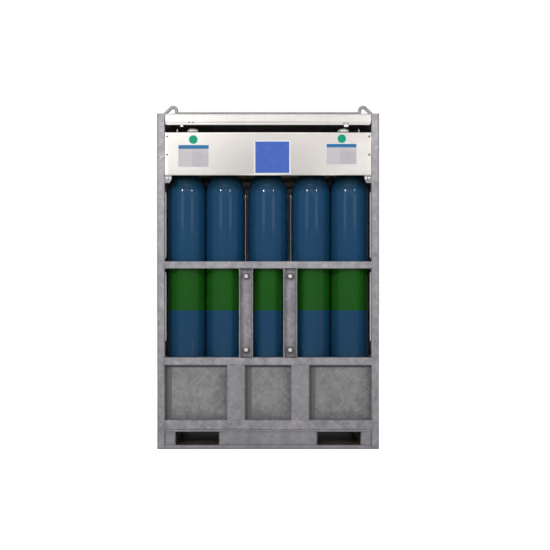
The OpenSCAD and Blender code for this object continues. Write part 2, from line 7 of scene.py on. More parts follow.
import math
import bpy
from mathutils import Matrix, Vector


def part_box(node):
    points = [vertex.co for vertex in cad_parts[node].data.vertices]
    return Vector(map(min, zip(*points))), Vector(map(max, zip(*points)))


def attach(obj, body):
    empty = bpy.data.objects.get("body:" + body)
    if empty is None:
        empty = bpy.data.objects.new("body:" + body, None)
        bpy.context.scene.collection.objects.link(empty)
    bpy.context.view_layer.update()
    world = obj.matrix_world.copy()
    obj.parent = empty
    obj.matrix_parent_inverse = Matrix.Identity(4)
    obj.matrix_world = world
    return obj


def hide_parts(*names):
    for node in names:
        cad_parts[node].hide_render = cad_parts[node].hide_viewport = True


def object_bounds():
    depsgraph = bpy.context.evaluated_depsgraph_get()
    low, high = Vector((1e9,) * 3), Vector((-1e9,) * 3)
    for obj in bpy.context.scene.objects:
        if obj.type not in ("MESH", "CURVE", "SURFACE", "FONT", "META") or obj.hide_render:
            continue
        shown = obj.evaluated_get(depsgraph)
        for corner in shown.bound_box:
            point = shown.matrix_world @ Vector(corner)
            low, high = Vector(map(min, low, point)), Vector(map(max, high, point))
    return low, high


bl_info = {
    "name": "Gas cylinder bundle",
    "version": (1, 0, 0),
    "blender": (4, 5, 0),
    "location": "3D View, Sidebar, Bundle",
    "description": "Builds the frame, covers, cylinders and fittings of a gas cylinder bundle",
    "category": "Add Mesh",
}

import bmesh
import bpy
import numpy as np

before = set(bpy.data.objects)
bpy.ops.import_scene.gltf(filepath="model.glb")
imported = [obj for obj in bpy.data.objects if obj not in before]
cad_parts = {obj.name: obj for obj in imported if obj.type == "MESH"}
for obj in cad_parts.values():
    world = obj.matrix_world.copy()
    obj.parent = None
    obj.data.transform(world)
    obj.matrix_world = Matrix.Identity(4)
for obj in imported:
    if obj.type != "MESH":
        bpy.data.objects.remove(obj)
cad_low, cad_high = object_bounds()

TAU = 2 * math.pi
MM = 0.001
X, Y, Z = 0, 1, 2
ACROSS = ((Y, Z), (Z, X), (X, Y))
FINISHES = {}


# Reading the frame


def node_points(node):
    """Vertex places of a CAD node as an array of rows."""
    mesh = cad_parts[node].data
    points = np.zeros(len(mesh.vertices) * 3)
    mesh.vertices.foreach_get("co", points)
    return points.reshape(-1, 3)


def solids(node):
    """Boxes (low, high) of the separate solids in a CAD node, sorted by height, then depth, then width.

    Vertices at one place share a number, and each triangle hands the lowest number of its
    corners to all three until nothing changes, so every solid ends with one number.
    """
    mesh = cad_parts[node].data
    points = node_points(node)
    mesh.calc_loop_triangles()
    tri = np.zeros(len(mesh.loop_triangles) * 3, np.int64)
    mesh.loop_triangles.foreach_get("vertices", tri)
    places, back = np.unique(np.round(points / 1e-5).astype(np.int64), axis=0, return_inverse=True)
    tri = back.ravel()[tri].reshape(-1, 3)
    label = np.arange(len(places))
    while True:
        low = label[tri].min(1)
        new = label.copy()
        np.minimum.at(new, tri.ravel(), np.repeat(low, 3))
        new = new[new]
        if np.array_equal(new, label):
            break
        label = new
    places = places * 1e-5
    boxes = [(places[label == k].min(0), places[label == k].max(0)) for k in np.unique(label)]
    return sorted(boxes, key=lambda b: (round(b[0][Z], 4), round(b[0][Y], 4), round(b[0][X], 4)))


def levels(node, axis):
    """The different places that a node's corners have along one axis, in rising order."""
    return np.unique(np.round(node_points(node)[:, axis], 5))


def box(node):
    """Lowest and highest corner of a CAD node as arrays."""
    low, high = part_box(node)
    return np.array(low), np.array(high)


# Surfaces. A shell is (points, faces, uv), and uv is None where no pattern follows the surface.


def grid_faces(rows, cols, wrap_rows=False, wrap_cols=False):
    """Quads between neighbours of a rows by cols grid. A wrap joins the last line to the first."""
    i = np.arange(rows if wrap_rows else rows - 1)[:, None]
    j = np.arange(cols if wrap_cols else cols - 1)[None, :]
    i2 = (i + 1) % rows
    j2 = (j + 1) % cols
    return np.stack([i * cols + j, i * cols + j2, i2 * cols + j2, i2 * cols + j], -1).reshape(-1, 4).tolist()


def loft(rings, close=False):
    """Joins equal closed outlines (m, n, 3) one after another. The ends get flat faces unless they close."""
    m, n = rings.shape[:2]
    faces = grid_faces(m, n, wrap_rows=close, wrap_cols=True)
    if not close:
        faces.append(list(range(n))[::-1])
        faces.append(list(range((m - 1) * n, m * n)))
    return rings.reshape(-1, 3), faces, None


def on_axes(a, b, c, axis):
    """Stacks a and b across an axis and c along it into places, in right-handed order."""
    order = {X: (c, a, b), Y: (b, c, a), Z: (a, b, c)}[axis]
    return np.stack(np.broadcast_arrays(*order), -1)


def quarter(radius, steps=5):
    """Points of a quarter circle from (radius, 0) to (0, radius), centred on (radius, radius)."""
    turn = np.linspace(0, math.pi / 2, steps)
    return radius * (1 - np.sin(turn)), radius * (1 - np.cos(turn))


def rounded_outline(wide, tall, radius):
    """A rectangle round the origin with quarter circles of a radius at its corners.

    Each arc has one more point at both ends, a little along the flats, so that the flats shade flat.
    """
    turn = np.linspace(0, math.pi / 2, 5)
    lead = 0.6 * radius
    arc_a = np.concatenate([[radius], radius * np.cos(turn), [-lead]])
    arc_b = np.concatenate([[-lead], radius * np.sin(turn), [radius]])
    a = wide / 2 - radius
    b = tall / 2 - radius
    xs = np.concatenate([a + arc_a, -a - arc_b, -a - arc_a, a + arc_b])
    ys = np.concatenate([b + arc_b, b + arc_a, -b - arc_b, -b - arc_a])
    return xs, ys


def bar(low, high, axis, edge, end=None):
    """A bar that fills a box: a rounded outline carried along one axis.

    At both ends the outline shrinks along a quarter circle of radius end, so the end edges are round too.
    """
    end = edge if end is None else end
    across = ACROSS[axis]
    mid = (low + high) / 2
    size = high - low
    inset, along = quarter(end, 4)
    inset = np.concatenate([inset, [0, 0], inset[::-1]])
    along = np.concatenate([along, [1.6 * end]])
    place = np.concatenate([low[axis] + along, high[axis] - along[::-1]])
    rings = []
    for draw, level in zip(inset, place):
        wide, tall = size[list(across)] - 2 * draw
        a, b = rounded_outline(wide, tall, max(edge - draw, 0.3 * edge))
        rings.append(on_axes(mid[across[0]] + a, mid[across[1]] + b, level, axis))
    return loft(np.array(rings))


def lathe(radii, heights, centre, steps, axis=Z, lobes=None):
    """Turns a profile (radius against height) about an axis. Radius 0 closes a pole with a fan.

    A profile without a pole is joined end to start. lobes, a function of angle and profile row, multiplies
    the radius.
    """
    radii = np.asarray(radii, float)
    heights = np.asarray(heights, float)
    first = 1 if radii[0] == 0 else 0
    last = len(radii) - 1 if radii[-1] == 0 else len(radii)
    angle = np.linspace(0, TAU, steps, endpoint=False)
    across = ACROSS[axis]
    r = radii[first:last, None] * np.ones(steps)
    if lobes is not None:
        r = r * lobes(angle[None, :], np.arange(first, last)[:, None])
    a = centre[across[0]] + r * np.cos(angle)
    b = centre[across[1]] + r * np.sin(angle)
    rings = on_axes(a, b, centre[axis] + heights[first:last, None], axis)
    points = rings.reshape(-1, 3)
    rows = last - first
    closed = not first and last == len(radii)
    faces = grid_faces(rows, steps, wrap_rows=closed, wrap_cols=True)
    one = np.arange(steps)
    two = (one + 1) % steps
    base = (rows - 1) * steps
    poles = [(heights[0], two, one)] if first else []
    if last < len(radii):
        poles.append((heights[-1], base + one, base + two))
    for height, start, stop in poles:
        pole = on_axes(centre[across[0]], centre[across[1]], centre[axis] + height, axis)
        faces += np.stack([np.full(steps, len(points)), start, stop], -1).tolist()
        points = np.concatenate([points, pole[None]])
    return points, faces, None


def path_frames(path):
    """Two unit vectors across a path at each point, the first square to the axis that it follows least."""
    tangent = np.gradient(path, axis=0)
    tangent /= np.linalg.norm(tangent, axis=1, keepdims=True)
    start = np.eye(3)[np.argmin(np.abs(tangent).max(0))]
    side = np.cross(tangent, start)
    side /= np.linalg.norm(side, axis=1, keepdims=True)
    return side, np.cross(tangent, side)


def sweep(path, radius, sides, close=False):
    """A round bar: a circle, whose radius may change, carried along a path."""
    path = np.asarray(path, float)
    side, up = path_frames(path)
    angle = np.linspace(0, TAU, sides, endpoint=False)[None, :, None]
    radius = np.broadcast_to(radius, len(path))[:, None, None]
    rings = path[:, None] + radius * (np.cos(angle) * side[:, None] + np.sin(angle) * up[:, None])
    return loft(rings, close)


def bead(start, stop, radius, seed):
    """A weld bead: a round bar along a line, with a radius that ripples and dies away at the ends.

    The ripple repeats every 1.4 radii, and seed shifts it, so that neighbours differ.
    """
    start = np.asarray(start, float)
    stop = np.asarray(stop, float)
    length = np.linalg.norm(stop - start)
    count = int(np.clip(length / (0.45 * radius), 8, 160))
    share = np.linspace(0, 1, count)
    ripple = 1 + 0.12 * np.sin(TAU * share * length / (1.4 * radius) + seed) + 0.1 * np.sin(7 * share + seed)
    taper = np.sqrt(np.clip(np.minimum(share, 1 - share) * length / (1.2 * radius), 0.04, 1))
    return sweep(start + share[:, None] * (stop - start), radius * ripple * taper, 8)


def sheet(grid, thick):
    """A sheet of even thickness: a grid of places (m, n, 3), its copy moved along the normals, and the rim.

    The normal is the cross product of the two grid directions.
    """
    m, n = grid.shape[:2]
    normal = np.cross(np.gradient(grid, axis=0), np.gradient(grid, axis=1))
    normal /= np.maximum(np.linalg.norm(normal, axis=2, keepdims=True), 1e-12)
    points = np.concatenate([grid.reshape(-1, 3), (grid + thick * normal).reshape(-1, 3)])
    front = grid_faces(m, n)
    back = (np.array(front) + m * n)[:, ::-1].tolist()
    index = np.arange(m * n).reshape(m, n)
    rim = np.concatenate([index[0], index[1:, -1], index[-1, -2::-1], index[-2:0:-1, 0]])
    next_rim = np.roll(rim, -1)
    edge = np.stack([rim, rim + m * n, next_rim + m * n, next_rim], -1).tolist()
    return points, front + back + edge, None


def plate(low, high, face, swell, corner, proud):
    """A thin plate on a cover that faces -Y: rows of points between two sides that are round at the corners.

    low and high are its corners in X and Z. It stands proud of the face and follows the swell of the cover,
    and uv runs from 0 to 1 over its width and height.
    """
    draw, rise = quarter(corner, 8)
    inner = np.linspace(low[1] + corner, high[1] - corner, 10)[1:-1]
    z = np.concatenate([low[1] + rise, inner, high[1] - rise[::-1]])[:, None]
    draw = np.concatenate([draw, 0 * inner, draw[::-1]])
    half = (high[0] - low[0]) / 2 - draw[:, None]
    x = (low[0] + high[0]) / 2 + half * np.linspace(-1, 1, 13)
    y = face - proud + flat_wave(x, z, swell)
    points, faces, _ = sheet(np.stack(np.broadcast_arrays(x, y, z), -1), proud * 2)
    uv = (points[:, [X, Z]] - np.array(low)) / (np.array(high) - np.array(low))
    return points, faces, uv


def flat_wave(x, z, depth):
    """Slow swell of thin sheet: three sine waves of different lengths and directions, at most depth deep."""
    swell = np.sin(5.1 * x + 1.3) * np.cos(7.3 * z + 0.4)
    swell = swell + 0.6 * np.sin(11.7 * x - 6.1 * z) + 0.4 * np.cos(17.3 * x + 2.9 * z + 2.0)
    return depth * swell / 2


def shifted(shell, shift):
    """A copy of a shell, moved by a triple."""
    points, faces, uv = shell
    return points + np.array(shift), faces, uv


def mirrored(shell, axis):
    """A copy of a shell, mirrored in the plane through the origin across an axis."""
    points, faces, uv = shell
    points = points.copy()
    points[:, axis] *= -1
    return points, faces, uv


def piece(name, shells, finish_name, body="bundle", replaces=(), sharp=35):
    """Joins shells into one object at the origin, with its faces outwards, its finish and its body."""
    all_points, all_faces, all_uv = zip(*shells)
    start = np.cumsum([0] + [len(points) for points in all_points]).tolist()
    faces = [[i + k for i in face] for shell, k in zip(all_faces, start) for face in shell]
    mesh = bpy.data.meshes.new(name)
    mesh.from_pydata(np.concatenate(all_points).tolist(), [], faces)
    work = bmesh.new()
    work.from_mesh(mesh)
    bmesh.ops.recalc_face_normals(work, faces=work.faces[:])
    work.to_mesh(mesh)
    work.free()
    if all_uv[0] is not None:
        uv = np.concatenate(all_uv)
        corner = np.zeros(len(mesh.loops), np.int64)
        mesh.loops.foreach_get("vertex_index", corner)
        mesh.uv_layers.new(name="surface").data.foreach_set("uv", uv[corner].ravel())
    mesh.shade_smooth()
    mesh.set_sharp_from_angle(angle=math.radians(sharp))
    mesh.materials.append(FINISHES[finish_name])
    obj = bpy.data.objects.new(name, mesh)
    bpy.context.scene.collection.objects.link(obj)
    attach(obj, body)
    if replaces:
        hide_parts(*replaces)


# Finishes


def tone(red, green, blue):
    """A colour given as screen values from 0 to 255, as linear values with full alpha."""
    screen = np.array([red, green, blue]) / 255
    linear = np.where(screen <= 0.04045, screen / 12.92, ((screen + 0.055) / 1.055) ** 2.4)
    return (*linear.tolist(), 1.0)


class Value:
    """An output of a shader node. Sums, products and comparisons of values add Math nodes."""

    def __init__(self, socket):
        self.socket = socket
        self.tree = socket.id_data

    def math(self, operation, other=0.0):
        """The result of a Math node on this value and another."""
        return Value(add(self.tree, "ShaderNodeMath", {0: self, 1: other}, operation=operation).outputs[0])

    def most(self, other):
        """The larger of this value and another."""
        return self.math("MAXIMUM", other)

    def __add__(self, other):
        return self.math("ADD", other)

    def __sub__(self, other):
        return self.math("SUBTRACT", other)

    def __mul__(self, other):
        return self.math("MULTIPLY", other)

    def __gt__(self, other):
        return self.math("GREATER_THAN", other)

    def __lt__(self, other):
        return self.math("LESS_THAN", other)

    def __abs__(self):
        return self.math("ABSOLUTE")


def add(tree, kind, inputs, **settings):
    """Adds a node, sets its settings, and links or sets each named or numbered input."""
    node = tree.nodes.new(kind)
    for key, value in settings.items():
        setattr(node, key, value)
    for key, value in inputs.items():
        value = getattr(value, "socket", value)
        if isinstance(value, bpy.types.NodeSocket):
            tree.links.new(value, node.inputs[key])
        else:
            node.inputs[key].default_value = value
    return node


def parts(vector):
    """The three numbers of a vector."""
    return [Value(socket) for socket in add(vector.tree, "ShaderNodeSeparateXYZ", {0: vector}).outputs]


def scaled(vector, scale, turn=0):
    """A vector turned back about Y by some degrees and then multiplied, so that a pattern can run slanted."""
    inputs = {"Vector": vector, "Scale": tuple(1 / s for s in scale)}
    inputs["Rotation"] = (0.0, math.radians(turn), 0.0)
    return Value(add(vector.tree, "ShaderNodeMapping", inputs, vector_type="TEXTURE").outputs[0])


def noise(vector, scale, detail=3.0, rough=0.55):
    """Noise value from 0 to 1."""
    inputs = {"Vector": vector, "Scale": scale, "Detail": detail, "Roughness": rough}
    return Value(add(vector.tree, "ShaderNodeTexNoise", inputs).outputs[0])


def ranged(value, low, high, to_low=0.0, to_high=1.0):
    """Maps a value from one range to another, held at the ends."""
    keys = ("Value", "From Min", "From Max", "To Min", "To Max")
    inputs = dict(zip(keys, (value, low, high, to_low, to_high)))
    return Value(add(value.tree, "ShaderNodeMapRange", inputs).outputs[0])


def mixed(share, first, second):
    """Colour between two colours by a share from 0 to 1."""
    inputs = {0: share, 6: first, 7: second}
    return Value(add(share.tree, "ShaderNodeMix", inputs, data_type="RGBA").outputs[2])


def surface_group(name, colours, numbers):
    """A node group that takes a Vector, colours and numbers. Gives its inputs by name and its output node."""
    tree = bpy.data.node_groups.new(name, "ShaderNodeTree")
    takes = {"Vector": "Vector", **dict.fromkeys(colours, "Color"), **dict.fromkeys(numbers, "Float")}
    gives = {"Color": "Color", "Roughness": "Float", "Height": "Float"}
    for side, sockets in (("INPUT", takes), ("OUTPUT", gives)):
        for key, kind in sockets.items():
            tree.interface.new_socket(key, in_out=side, socket_type="NodeSocket" + kind)
    source = tree.nodes.new("NodeGroupInput").outputs
    return {key: Value(source[key]) for key in takes}, tree.nodes.new("NodeGroupOutput")


def put_out(result, colour, roughness, height):
    """Links the three outputs of a surface group."""
    for key, value in (("Color", colour), ("Roughness", roughness), ("Height", height)):
        value.tree.links.new(value.socket, result.inputs[key])


# Outer faces of the frame, and the edges of the lower front fields, where shade and shadows are painted.
FRONT = -cad_low[Y]
SIDE = -cad_low[X]
MULLIONS = [b for b in solids("mullions") if b[1][Y] < 0]
FIELD_LEFTS = [box("post_front_left")[1][X], *[high[X] for low, high in MULLIONS]]
FIELD_RIGHTS = [*[low[X] for low, high in MULLIONS], box("post_front_right")[0][X]]
FIELD_TOP = solids("front_rails")[1][0][Z]
FIELD_FOOT = solids("front_rails")[0][1][Z]


def zinc_spangle_group():
    """Hot dip zinc: crystal cells, lumps, bright spots, vertical runs and patches of slanted drag marks.

    It paints shade, with one strength input each after Drag, in this order: darker towards the ground, darker
    in recesses behind the front, darker along the outer edges and at the very foot, and painted shadows round
    the lower
    fields: under the lower rail, in a band at the left and softly at the right and the foot of each field.
    """
    numbers = ("Crystal", "Runs", "Drag", "Fade", "RecessShade", "EdgeShade", "FieldShadow")
    given, result = surface_group("zinc_spangle", ("Pale", "Dark"), numbers)
    place = given["Vector"]
    tree = place.tree
    bend = add(tree, "ShaderNodeTexNoise", {"Vector": place, "Scale": 20.0, "Detail": 2.0}).outputs[1]
    small = (0.02, 0.02, 0.02)
    shift = add(tree, "ShaderNodeVectorMath", {0: bend, 1: small}, operation="MULTIPLY").outputs[0]
    bent = add(tree, "ShaderNodeVectorMath", {0: place, 1: shift}, operation="ADD").outputs[0]
    cell = add(tree, "ShaderNodeTexVoronoi", {"Vector": bent, "Scale": given["Crystal"]}).outputs["Color"]
    crystal = Value(add(tree, "ShaderNodeSeparateColor", {0: cell}).outputs[0])
    mottle = noise(place, 6.0)
    lumps = noise(place, 20.0)
    grain = noise(place, 150.0, 2.0)
    spots = ranged(noise(place, 64.0, 1.0), 0.64, 0.74, 0.5, 1.0)
    runs = noise(scaled(place, (16.0, 16.0, 1.4)), 1.0)
    lines = noise(scaled(place, (110.0, 110.0, 6.0), 45), 1.0, 2.0)
    patches = ranged(noise(place, 4.5, 2.0), 0.45, 0.6)
    drag = ranged(lines, 0.54, 0.72) * patches + 0.42
    x, y, z = parts(place)
    behind = abs(y)
    # Painted shade: darker along the outer side edges of the frame and at the very foot.
    edge = ranged(abs(x), SIDE - 0.009, SIDE - 0.001) * ranged(behind, FRONT - 0.01, FRONT - 0.004)
    edge = edge.most(ranged(z, 0.002, 0.009, 1.0, 0.0))
    # Painted shade: darker towards the ground and in recesses behind the front.
    low = ranged(z, 0.0, 1.9, 1.0, 0.0)
    deep = ranged(behind, FRONT - 0.045, FRONT - 0.004, 1.0, 0.0)
    # Painted shadows round each lower field: under the rail, beside posts and mullions, softly at its right
    # and foot.
    field_shadow = ranged(z, FIELD_TOP - 0.016, FIELD_TOP - 0.012)
    for left in FIELD_LEFTS:
        field_shadow = field_shadow.most((x > left) * ranged(x, left + 0.032, left + 0.04, 1.0, 0.0))
    for right in FIELD_RIGHTS:
        field_shadow = field_shadow.most((x < right) * ranged(x, right - 0.09, right, 0.0, 0.3))
    field_shadow = field_shadow.most(ranged(z, FIELD_FOOT, FIELD_FOOT + 0.1, 0.3, 0.0))
    shade = low * given["Fade"] + deep * given["RecessShade"] + edge * given["EdgeShade"] + field_shadow * given["FieldShadow"]
    total = (mottle - 0.5) * 0.4
    shares = ((lumps, 0.55), (crystal, 0.16), (grain, 0.25), (spots, 0.4))
    for value, share in (*shares, (runs, given["Runs"]), (drag, given["Drag"])):
        total = total + (value - 0.5) * share
    total = total + 0.5 - shade
    colour = mixed(ranged(total, 0.1, 0.9), given["Dark"], given["Pale"])
    put_out(result, colour, ranged(total, 0.2, 0.8, 0.62, 0.42), crystal * 0.2 + lumps + grain * 0.2)


def brushed_sheet_group():
    """Rolled stainless sheet: fine lines along X, slow clouds, a few wiped marks, and a dull inner skin in a
    dark tone of painted shade.

    The inner skin is where |y| is under Skin and the height is under Ceiling.
    """
    given, result = surface_group("brushed_sheet", ("Pale", "Dark", "Shaded skin"), ("Lines", "Skin", "Ceiling"))
    place = given["Vector"]
    lines = noise(scaled(place, (3.0, 420.0, 420.0)), 1.0, 2.0)
    clouds = noise(scaled(place, (2.2, 2.2, 5.0)), 1.0, 4.0, 0.5)
    wiped = noise(scaled(place, (9.0, 9.0, 2.0), 20), 1.0)
    total = (lines - 0.5) * given["Lines"] + clouds + wiped * 0.3
    outer = mixed(ranged(total, 0.3, 1.0), given["Dark"], given["Pale"])
    _, y, z = parts(place)
    # The inner skin: rougher, and in a dark tone that paints the shade inside the covers.
    inside = (abs(y) < given["Skin"]) * (z < given["Ceiling"])
    rough = ranged(total, 0.3, 1.0, 0.27, 0.16) + inside * 0.4
    put_out(result, mixed(inside, outer, given["Shaded skin"]), rough, lines * 0.4)


def banded_paint_group():
    """Gloss paint in two colours: a band between two heights, painted shadow of the cover laid on as grime on
    the shoulders, darker towards the foot, scuffs and orange peel.
    """
    numbers = ("Band low", "Band high", "Shoulder shadow low", "Shoulder shadow high")
    given, result = surface_group("banded_paint", ("Body", "Band", "Scuff", "Grime and shade"), numbers)
    place = given["Vector"]
    height = parts(place)[Z] + (noise(place, 60.0) - 0.5) * 0.002
    banded = (height > given["Band low"]) * (height < given["Band high"])
    colour = mixed(banded, given["Body"], given["Band"])
    # Painted shadow of the cover on the shoulders, laid on as grime.
    grime_and_shade = ranged(height, given["Shoulder shadow low"], given["Shoulder shadow high"], 0.0, 0.9)
    # Darker towards the foot, in the same colour.
    foot = ranged(height, 0.4, 1.0, 0.25, 0.0)
    for share in (grime_and_shade, foot):
        colour = mixed(share, colour, given["Grime and shade"])
    scuffs = ranged(noise(scaled(place, (26.0, 26.0, 5.0)), 1.0, 6.0, 0.7), 0.62, 0.8, 0.0, 0.3)
    polish = ranged(noise(place, 9.0, 4.0) + scuffs, 0.3, 1.0, 0.06, 0.16)
    dull = ranged(grime_and_shade, 0.35, 0.9, 0.0, 0.5)
    put_out(result, mixed(scuffs, colour, given["Scuff"]), polish + dull, noise(place, 320.0, 1.0))


def worn_metal_group():
    """Turned, cast or moulded parts: grain of a given scale and slow tarnish."""
    given, result = surface_group("worn_metal", ("Pale", "Dark"), ("Grain",))
    place = given["Vector"]
    grain = noise(place, given["Grain"])
    total = grain * 0.45 + noise(place, 24.0, 4.0, 0.6) * 0.7
    colour = mixed(ranged(total, 0.38, 0.78), given["Dark"], given["Pale"])
    put_out(result, colour, ranged(total, 0.38, 0.78, 0.55, 0.32), grain)


def enamel_plate_group():
    """Plain coloured plate on its own uv: a field with a block and rules, a band along the top, a border."""
    numbers = ("Header from", "Border width", "Rule count", "Round", "Block")
    given, result = surface_group("enamel_plate", ("Field", "Header", "Border", "Rules"), numbers)
    place = given["Vector"]
    u, v, _ = parts(place)
    a = u - 0.5
    b = v - 0.5
    side = abs(a).most(abs(b))
    radius = (a * a + b * b).math("SQRT")
    reach = side + (radius - side) * given["Round"]
    wave = (v * given["Rule count"]).math("SINE")
    ragged = ranged(noise(scaled(place, (0.4, 7.0, 1.0)), 1.0, 0.0), 0.35, 0.65, 0.7, 0.94)
    rule = (wave > 0.55) * (u < ragged) * (u > 0.47)
    block = (u > 0.45) * given["Block"] * (v < 0.62)
    colour = mixed(block.most(rule), given["Field"], given["Rules"])
    colour = mixed(v > given["Header from"], colour, given["Header"])
    colour = mixed(reach + given["Border width"] > 0.5, colour, given["Border"])
    cloud = noise(place, 4.0, 4.0)
    colour = mixed(ranged(cloud, 0.5, 0.9, 0.0, 0.06), colour, given["Border"])
    put_out(result, colour, ranged(cloud, 0.3, 0.7, 0.28, 0.4), cloud)


def finish(name, group, values, metallic=0.0, relief=0.2, depth=0.5 * MM, coords="Object", gloss=0.5):
    """A material, kept by its name, whose colour, roughness and relief come from one surface group."""
    material = bpy.data.materials.new(name)
    material.use_nodes = True
    tree = material.node_tree
    inputs = {"Vector": tree.nodes.new("ShaderNodeTexCoord").outputs[coords], **values}
    look = add(tree, "ShaderNodeGroup", inputs, node_tree=bpy.data.node_groups[group]).outputs
    bump = add(tree, "ShaderNodeBump", {"Height": look["Height"], "Strength": relief, "Distance": depth})
    shader = tree.nodes["Principled BSDF"].inputs
    shader["Metallic"].default_value = metallic
    shader["Specular IOR Level"].default_value = gloss
    links = {"Base Color": look["Color"], "Roughness": look["Roughness"], "Normal": bump.outputs[0]}
    for key, socket in links.items():
        tree.links.new(socket, shader[key])
    FINISHES[name] = material


# Settings


def colour(name, description, default):
    """A colour setting, given as screen values."""
    return bpy.props.FloatVectorProperty(
        name=name, description=description, default=tone(*default), size=4, subtype="COLOR", min=0.0, max=1.0
    )


def amount(name, description, default, unit="NONE"):
    """A number setting, plain or in a unit."""
    return bpy.props.FloatProperty(
        name=name, description=description, default=default, unit=unit, precision=4
    )


def length(name, description, default):
    """A length setting in metres."""
    return amount(name, description, default, "LENGTH")


def power(name, description, default):
    """A power setting in watts."""
    return amount(name, description, default, "POWER")


class FrameSettings(bpy.types.PropertyGroup):
    """Sizes and colours of the galvanised frame"""

    tube_edge: length("Tube edge", "Edge radius of posts and rails", 5 * MM)
    plate_edge: length("Plate edge", "Edge radius of flat bars and flanges", 1.5 * MM)
    mullion_wall: length("Mullion wall", "Sheet thickness of a mullion", 4 * MM)
    mullion_bend: length("Mullion bend", "Outer bend radius of a mullion", 6 * MM)
    flange: length("Flange", "Flange thickness of a clamp channel", 8 * MM)
    channel_fillet: length("Channel fillet", "Inner fillet of a clamp channel", 8 * MM)
    thread_pitch: length("Thread pitch", "Pitch of the tie rod thread", 3 * MM)
    thread_run: length("Thread run", "Length of the thread at a tie rod end", 66 * MM)
    eye_bend: length("Eye bend", "Bend radius of a lifting eye at the middle of its bar", 20 * MM)
    weld: length("Weld", "Radius of a weld bead", 3 * MM)
    pale: colour("Pale zinc", "Lightest tone of the zinc", (166, 163, 166))
    dark: colour("Dark zinc", "Darkest tone of the zinc", (103, 101, 106))
    low_pale: colour("Pale low zinc", "Lightest tone of the zinc on the base", (134, 132, 136))
    low_dark: colour("Dark low zinc", "Darkest tone of the zinc on the base", (87, 86, 90))
    sheet_pale: colour("Pale sheet zinc", "Lightest tone of the zinc on the kick sheets", (132, 130, 131))
    sheet_dark: colour("Dark sheet zinc", "Darkest tone of the zinc on the kick sheets", (80, 79, 80))
    # Fork pocket tones: dirt, and dark as painted shade inside the pockets.
    pocket_pale: colour("Pale pocket zinc", "Lightest tone of the fork pockets", (166, 164, 168))
    pocket_dark: colour("Dark pocket zinc", "Darkest tone of the fork pockets", (62, 55, 46))
    # Side panel tones: paler than the frame, painted light on the folds beside the posts.
    panel_pale: colour("Pale panel zinc", "Lightest tone of the side panels", (222, 219, 217))
    panel_dark: colour("Dark panel zinc", "Darkest tone of the side panels", (178, 175, 174))
    bracket_pale: colour("Pale bracket zinc", "Lightest tone of the bracket plates", (150, 147, 148))
    bracket_dark: colour("Dark bracket zinc", "Darkest tone of the bracket plates", (88, 86, 87))


class CoverSettings(bpy.types.PropertyGroup):
    """Sizes and colours of the stainless covers and their plates"""

    thick: length("Sheet", "Thickness of the stainless sheet", 1.5 * MM)
    fold: length("Fold", "Outer radius of the folds", 3.5 * MM)
    hem: length("Hem", "Depth of the folded hems", 14 * MM)
    swell: length("Swell", "Depth of the slow waves in the sheet", 0.5 * MM)
    corner: length("Apron corner", "Radius of the lower apron corners", 14 * MM)
    pale: colour("Pale sheet", "Lightest tone of the sheet", (182, 179, 176))
    dark: colour("Dark sheet", "Darkest tone of the sheet", (158, 154, 149))
    # Tone of the inner skin: painted shade inside the covers.
    dull: colour("Shaded inner sheet", "Tone of the sheet's inner skin", (96, 93, 88))
    card: colour("Card", "Field of the pale cards", (178, 175, 179))
    card_band: colour("Card band", "Band along the top of the pale cards", (46, 102, 148))
    card_rules: colour("Card rules", "Rules and block on the pale cards", (164, 160, 165))
    disc: colour("Disc", "Field of the round marks", (12, 138, 106))
    plate: colour("Middle plate", "Field of the plate in the middle", (64, 92, 168))
    rim: colour("Rim", "Borders of plates and marks", (208, 208, 210))


class CylinderSettings(bpy.types.PropertyGroup):
    """Sizes and colours of the cylinders and fittings"""

    shoulder: length("Shoulder", "Height of the shoulder", 150 * MM)
    neck: length("Neck", "Height of the neck above the shoulder", 30 * MM)
    neck_radius: length("Neck radius", "Outside radius of the neck", 22 * MM)
    foot: length("Foot", "Rounding of the foot", 23 * MM)
    band_low: length("Band low", "Lower edge of the coloured band above the ground", 811 * MM)
    band_high: length("Band high", "Upper edge of the coloured band above the ground", 1085 * MM)
    # Heights of the darkening on the shoulders: painted shadow of the cover above, laid on as grime.
    shoulder_shadow_low: length("Shoulder shadow low", "Height where the grime on the shoulders begins", 1505 * MM)
    shoulder_shadow_high: length("Shoulder shadow high", "Height where the grime on the shoulders is full", 1590 * MM)
    body: colour("Body paint", "Paint of the cylinders", (23, 62, 93))
    band: colour("Band paint", "Paint of the band", (23, 77, 17))
    scuff: colour("Scuffs", "Worn and dusty paint", (96, 118, 140))
    # Colour of the darkening: painted shadow on the shoulders, and the darker foot.
    grime_and_shade: colour("Grime and shade", "Dust and dirt on the shoulders", (16, 32, 36))


class StageSettings(bpy.types.PropertyGroup):
    """Camera and lamps"""

    distance: length("Distance", "Camera distance before the front of the frame", 5.6)
    height: length("Height", "Camera height", 0.933)
    lens: amount("Lens", "Focal length in millimetres", 62.64, "CAMERA")
    shift_x: amount("Shift across", "Sideways shift of the picture in picture widths", 0.01255)
    shift_z: amount("Shift up", "Upward shift of the picture in picture widths", 0.027)
    ambient: amount("Ambient", "Strength of the light from all round", 0.05)
    key: power("Key", "Power of the lamp at the front left", 272.0)
    fill: power("Fill", "Power of the lamp at the front right", 143.0)
    front: power("Front", "Power of the lamp by the camera, which nothing mirrors", 34.0)
    top: power("Top", "Power of the lamp above the front", 22.0)
    screen: amount("Screens", "Watts per square metre of the screens that the covers mirror", 4.4)
    tube: power("Tube", "Power of the level tube that the shoulders mirror", 30.0)
    strip: power("Strip", "Power of each soft patch that the cylinders mirror", 8.0)
    back: power("Back", "Power of each lamp beyond the rear corners", 150.0)


# Pieces


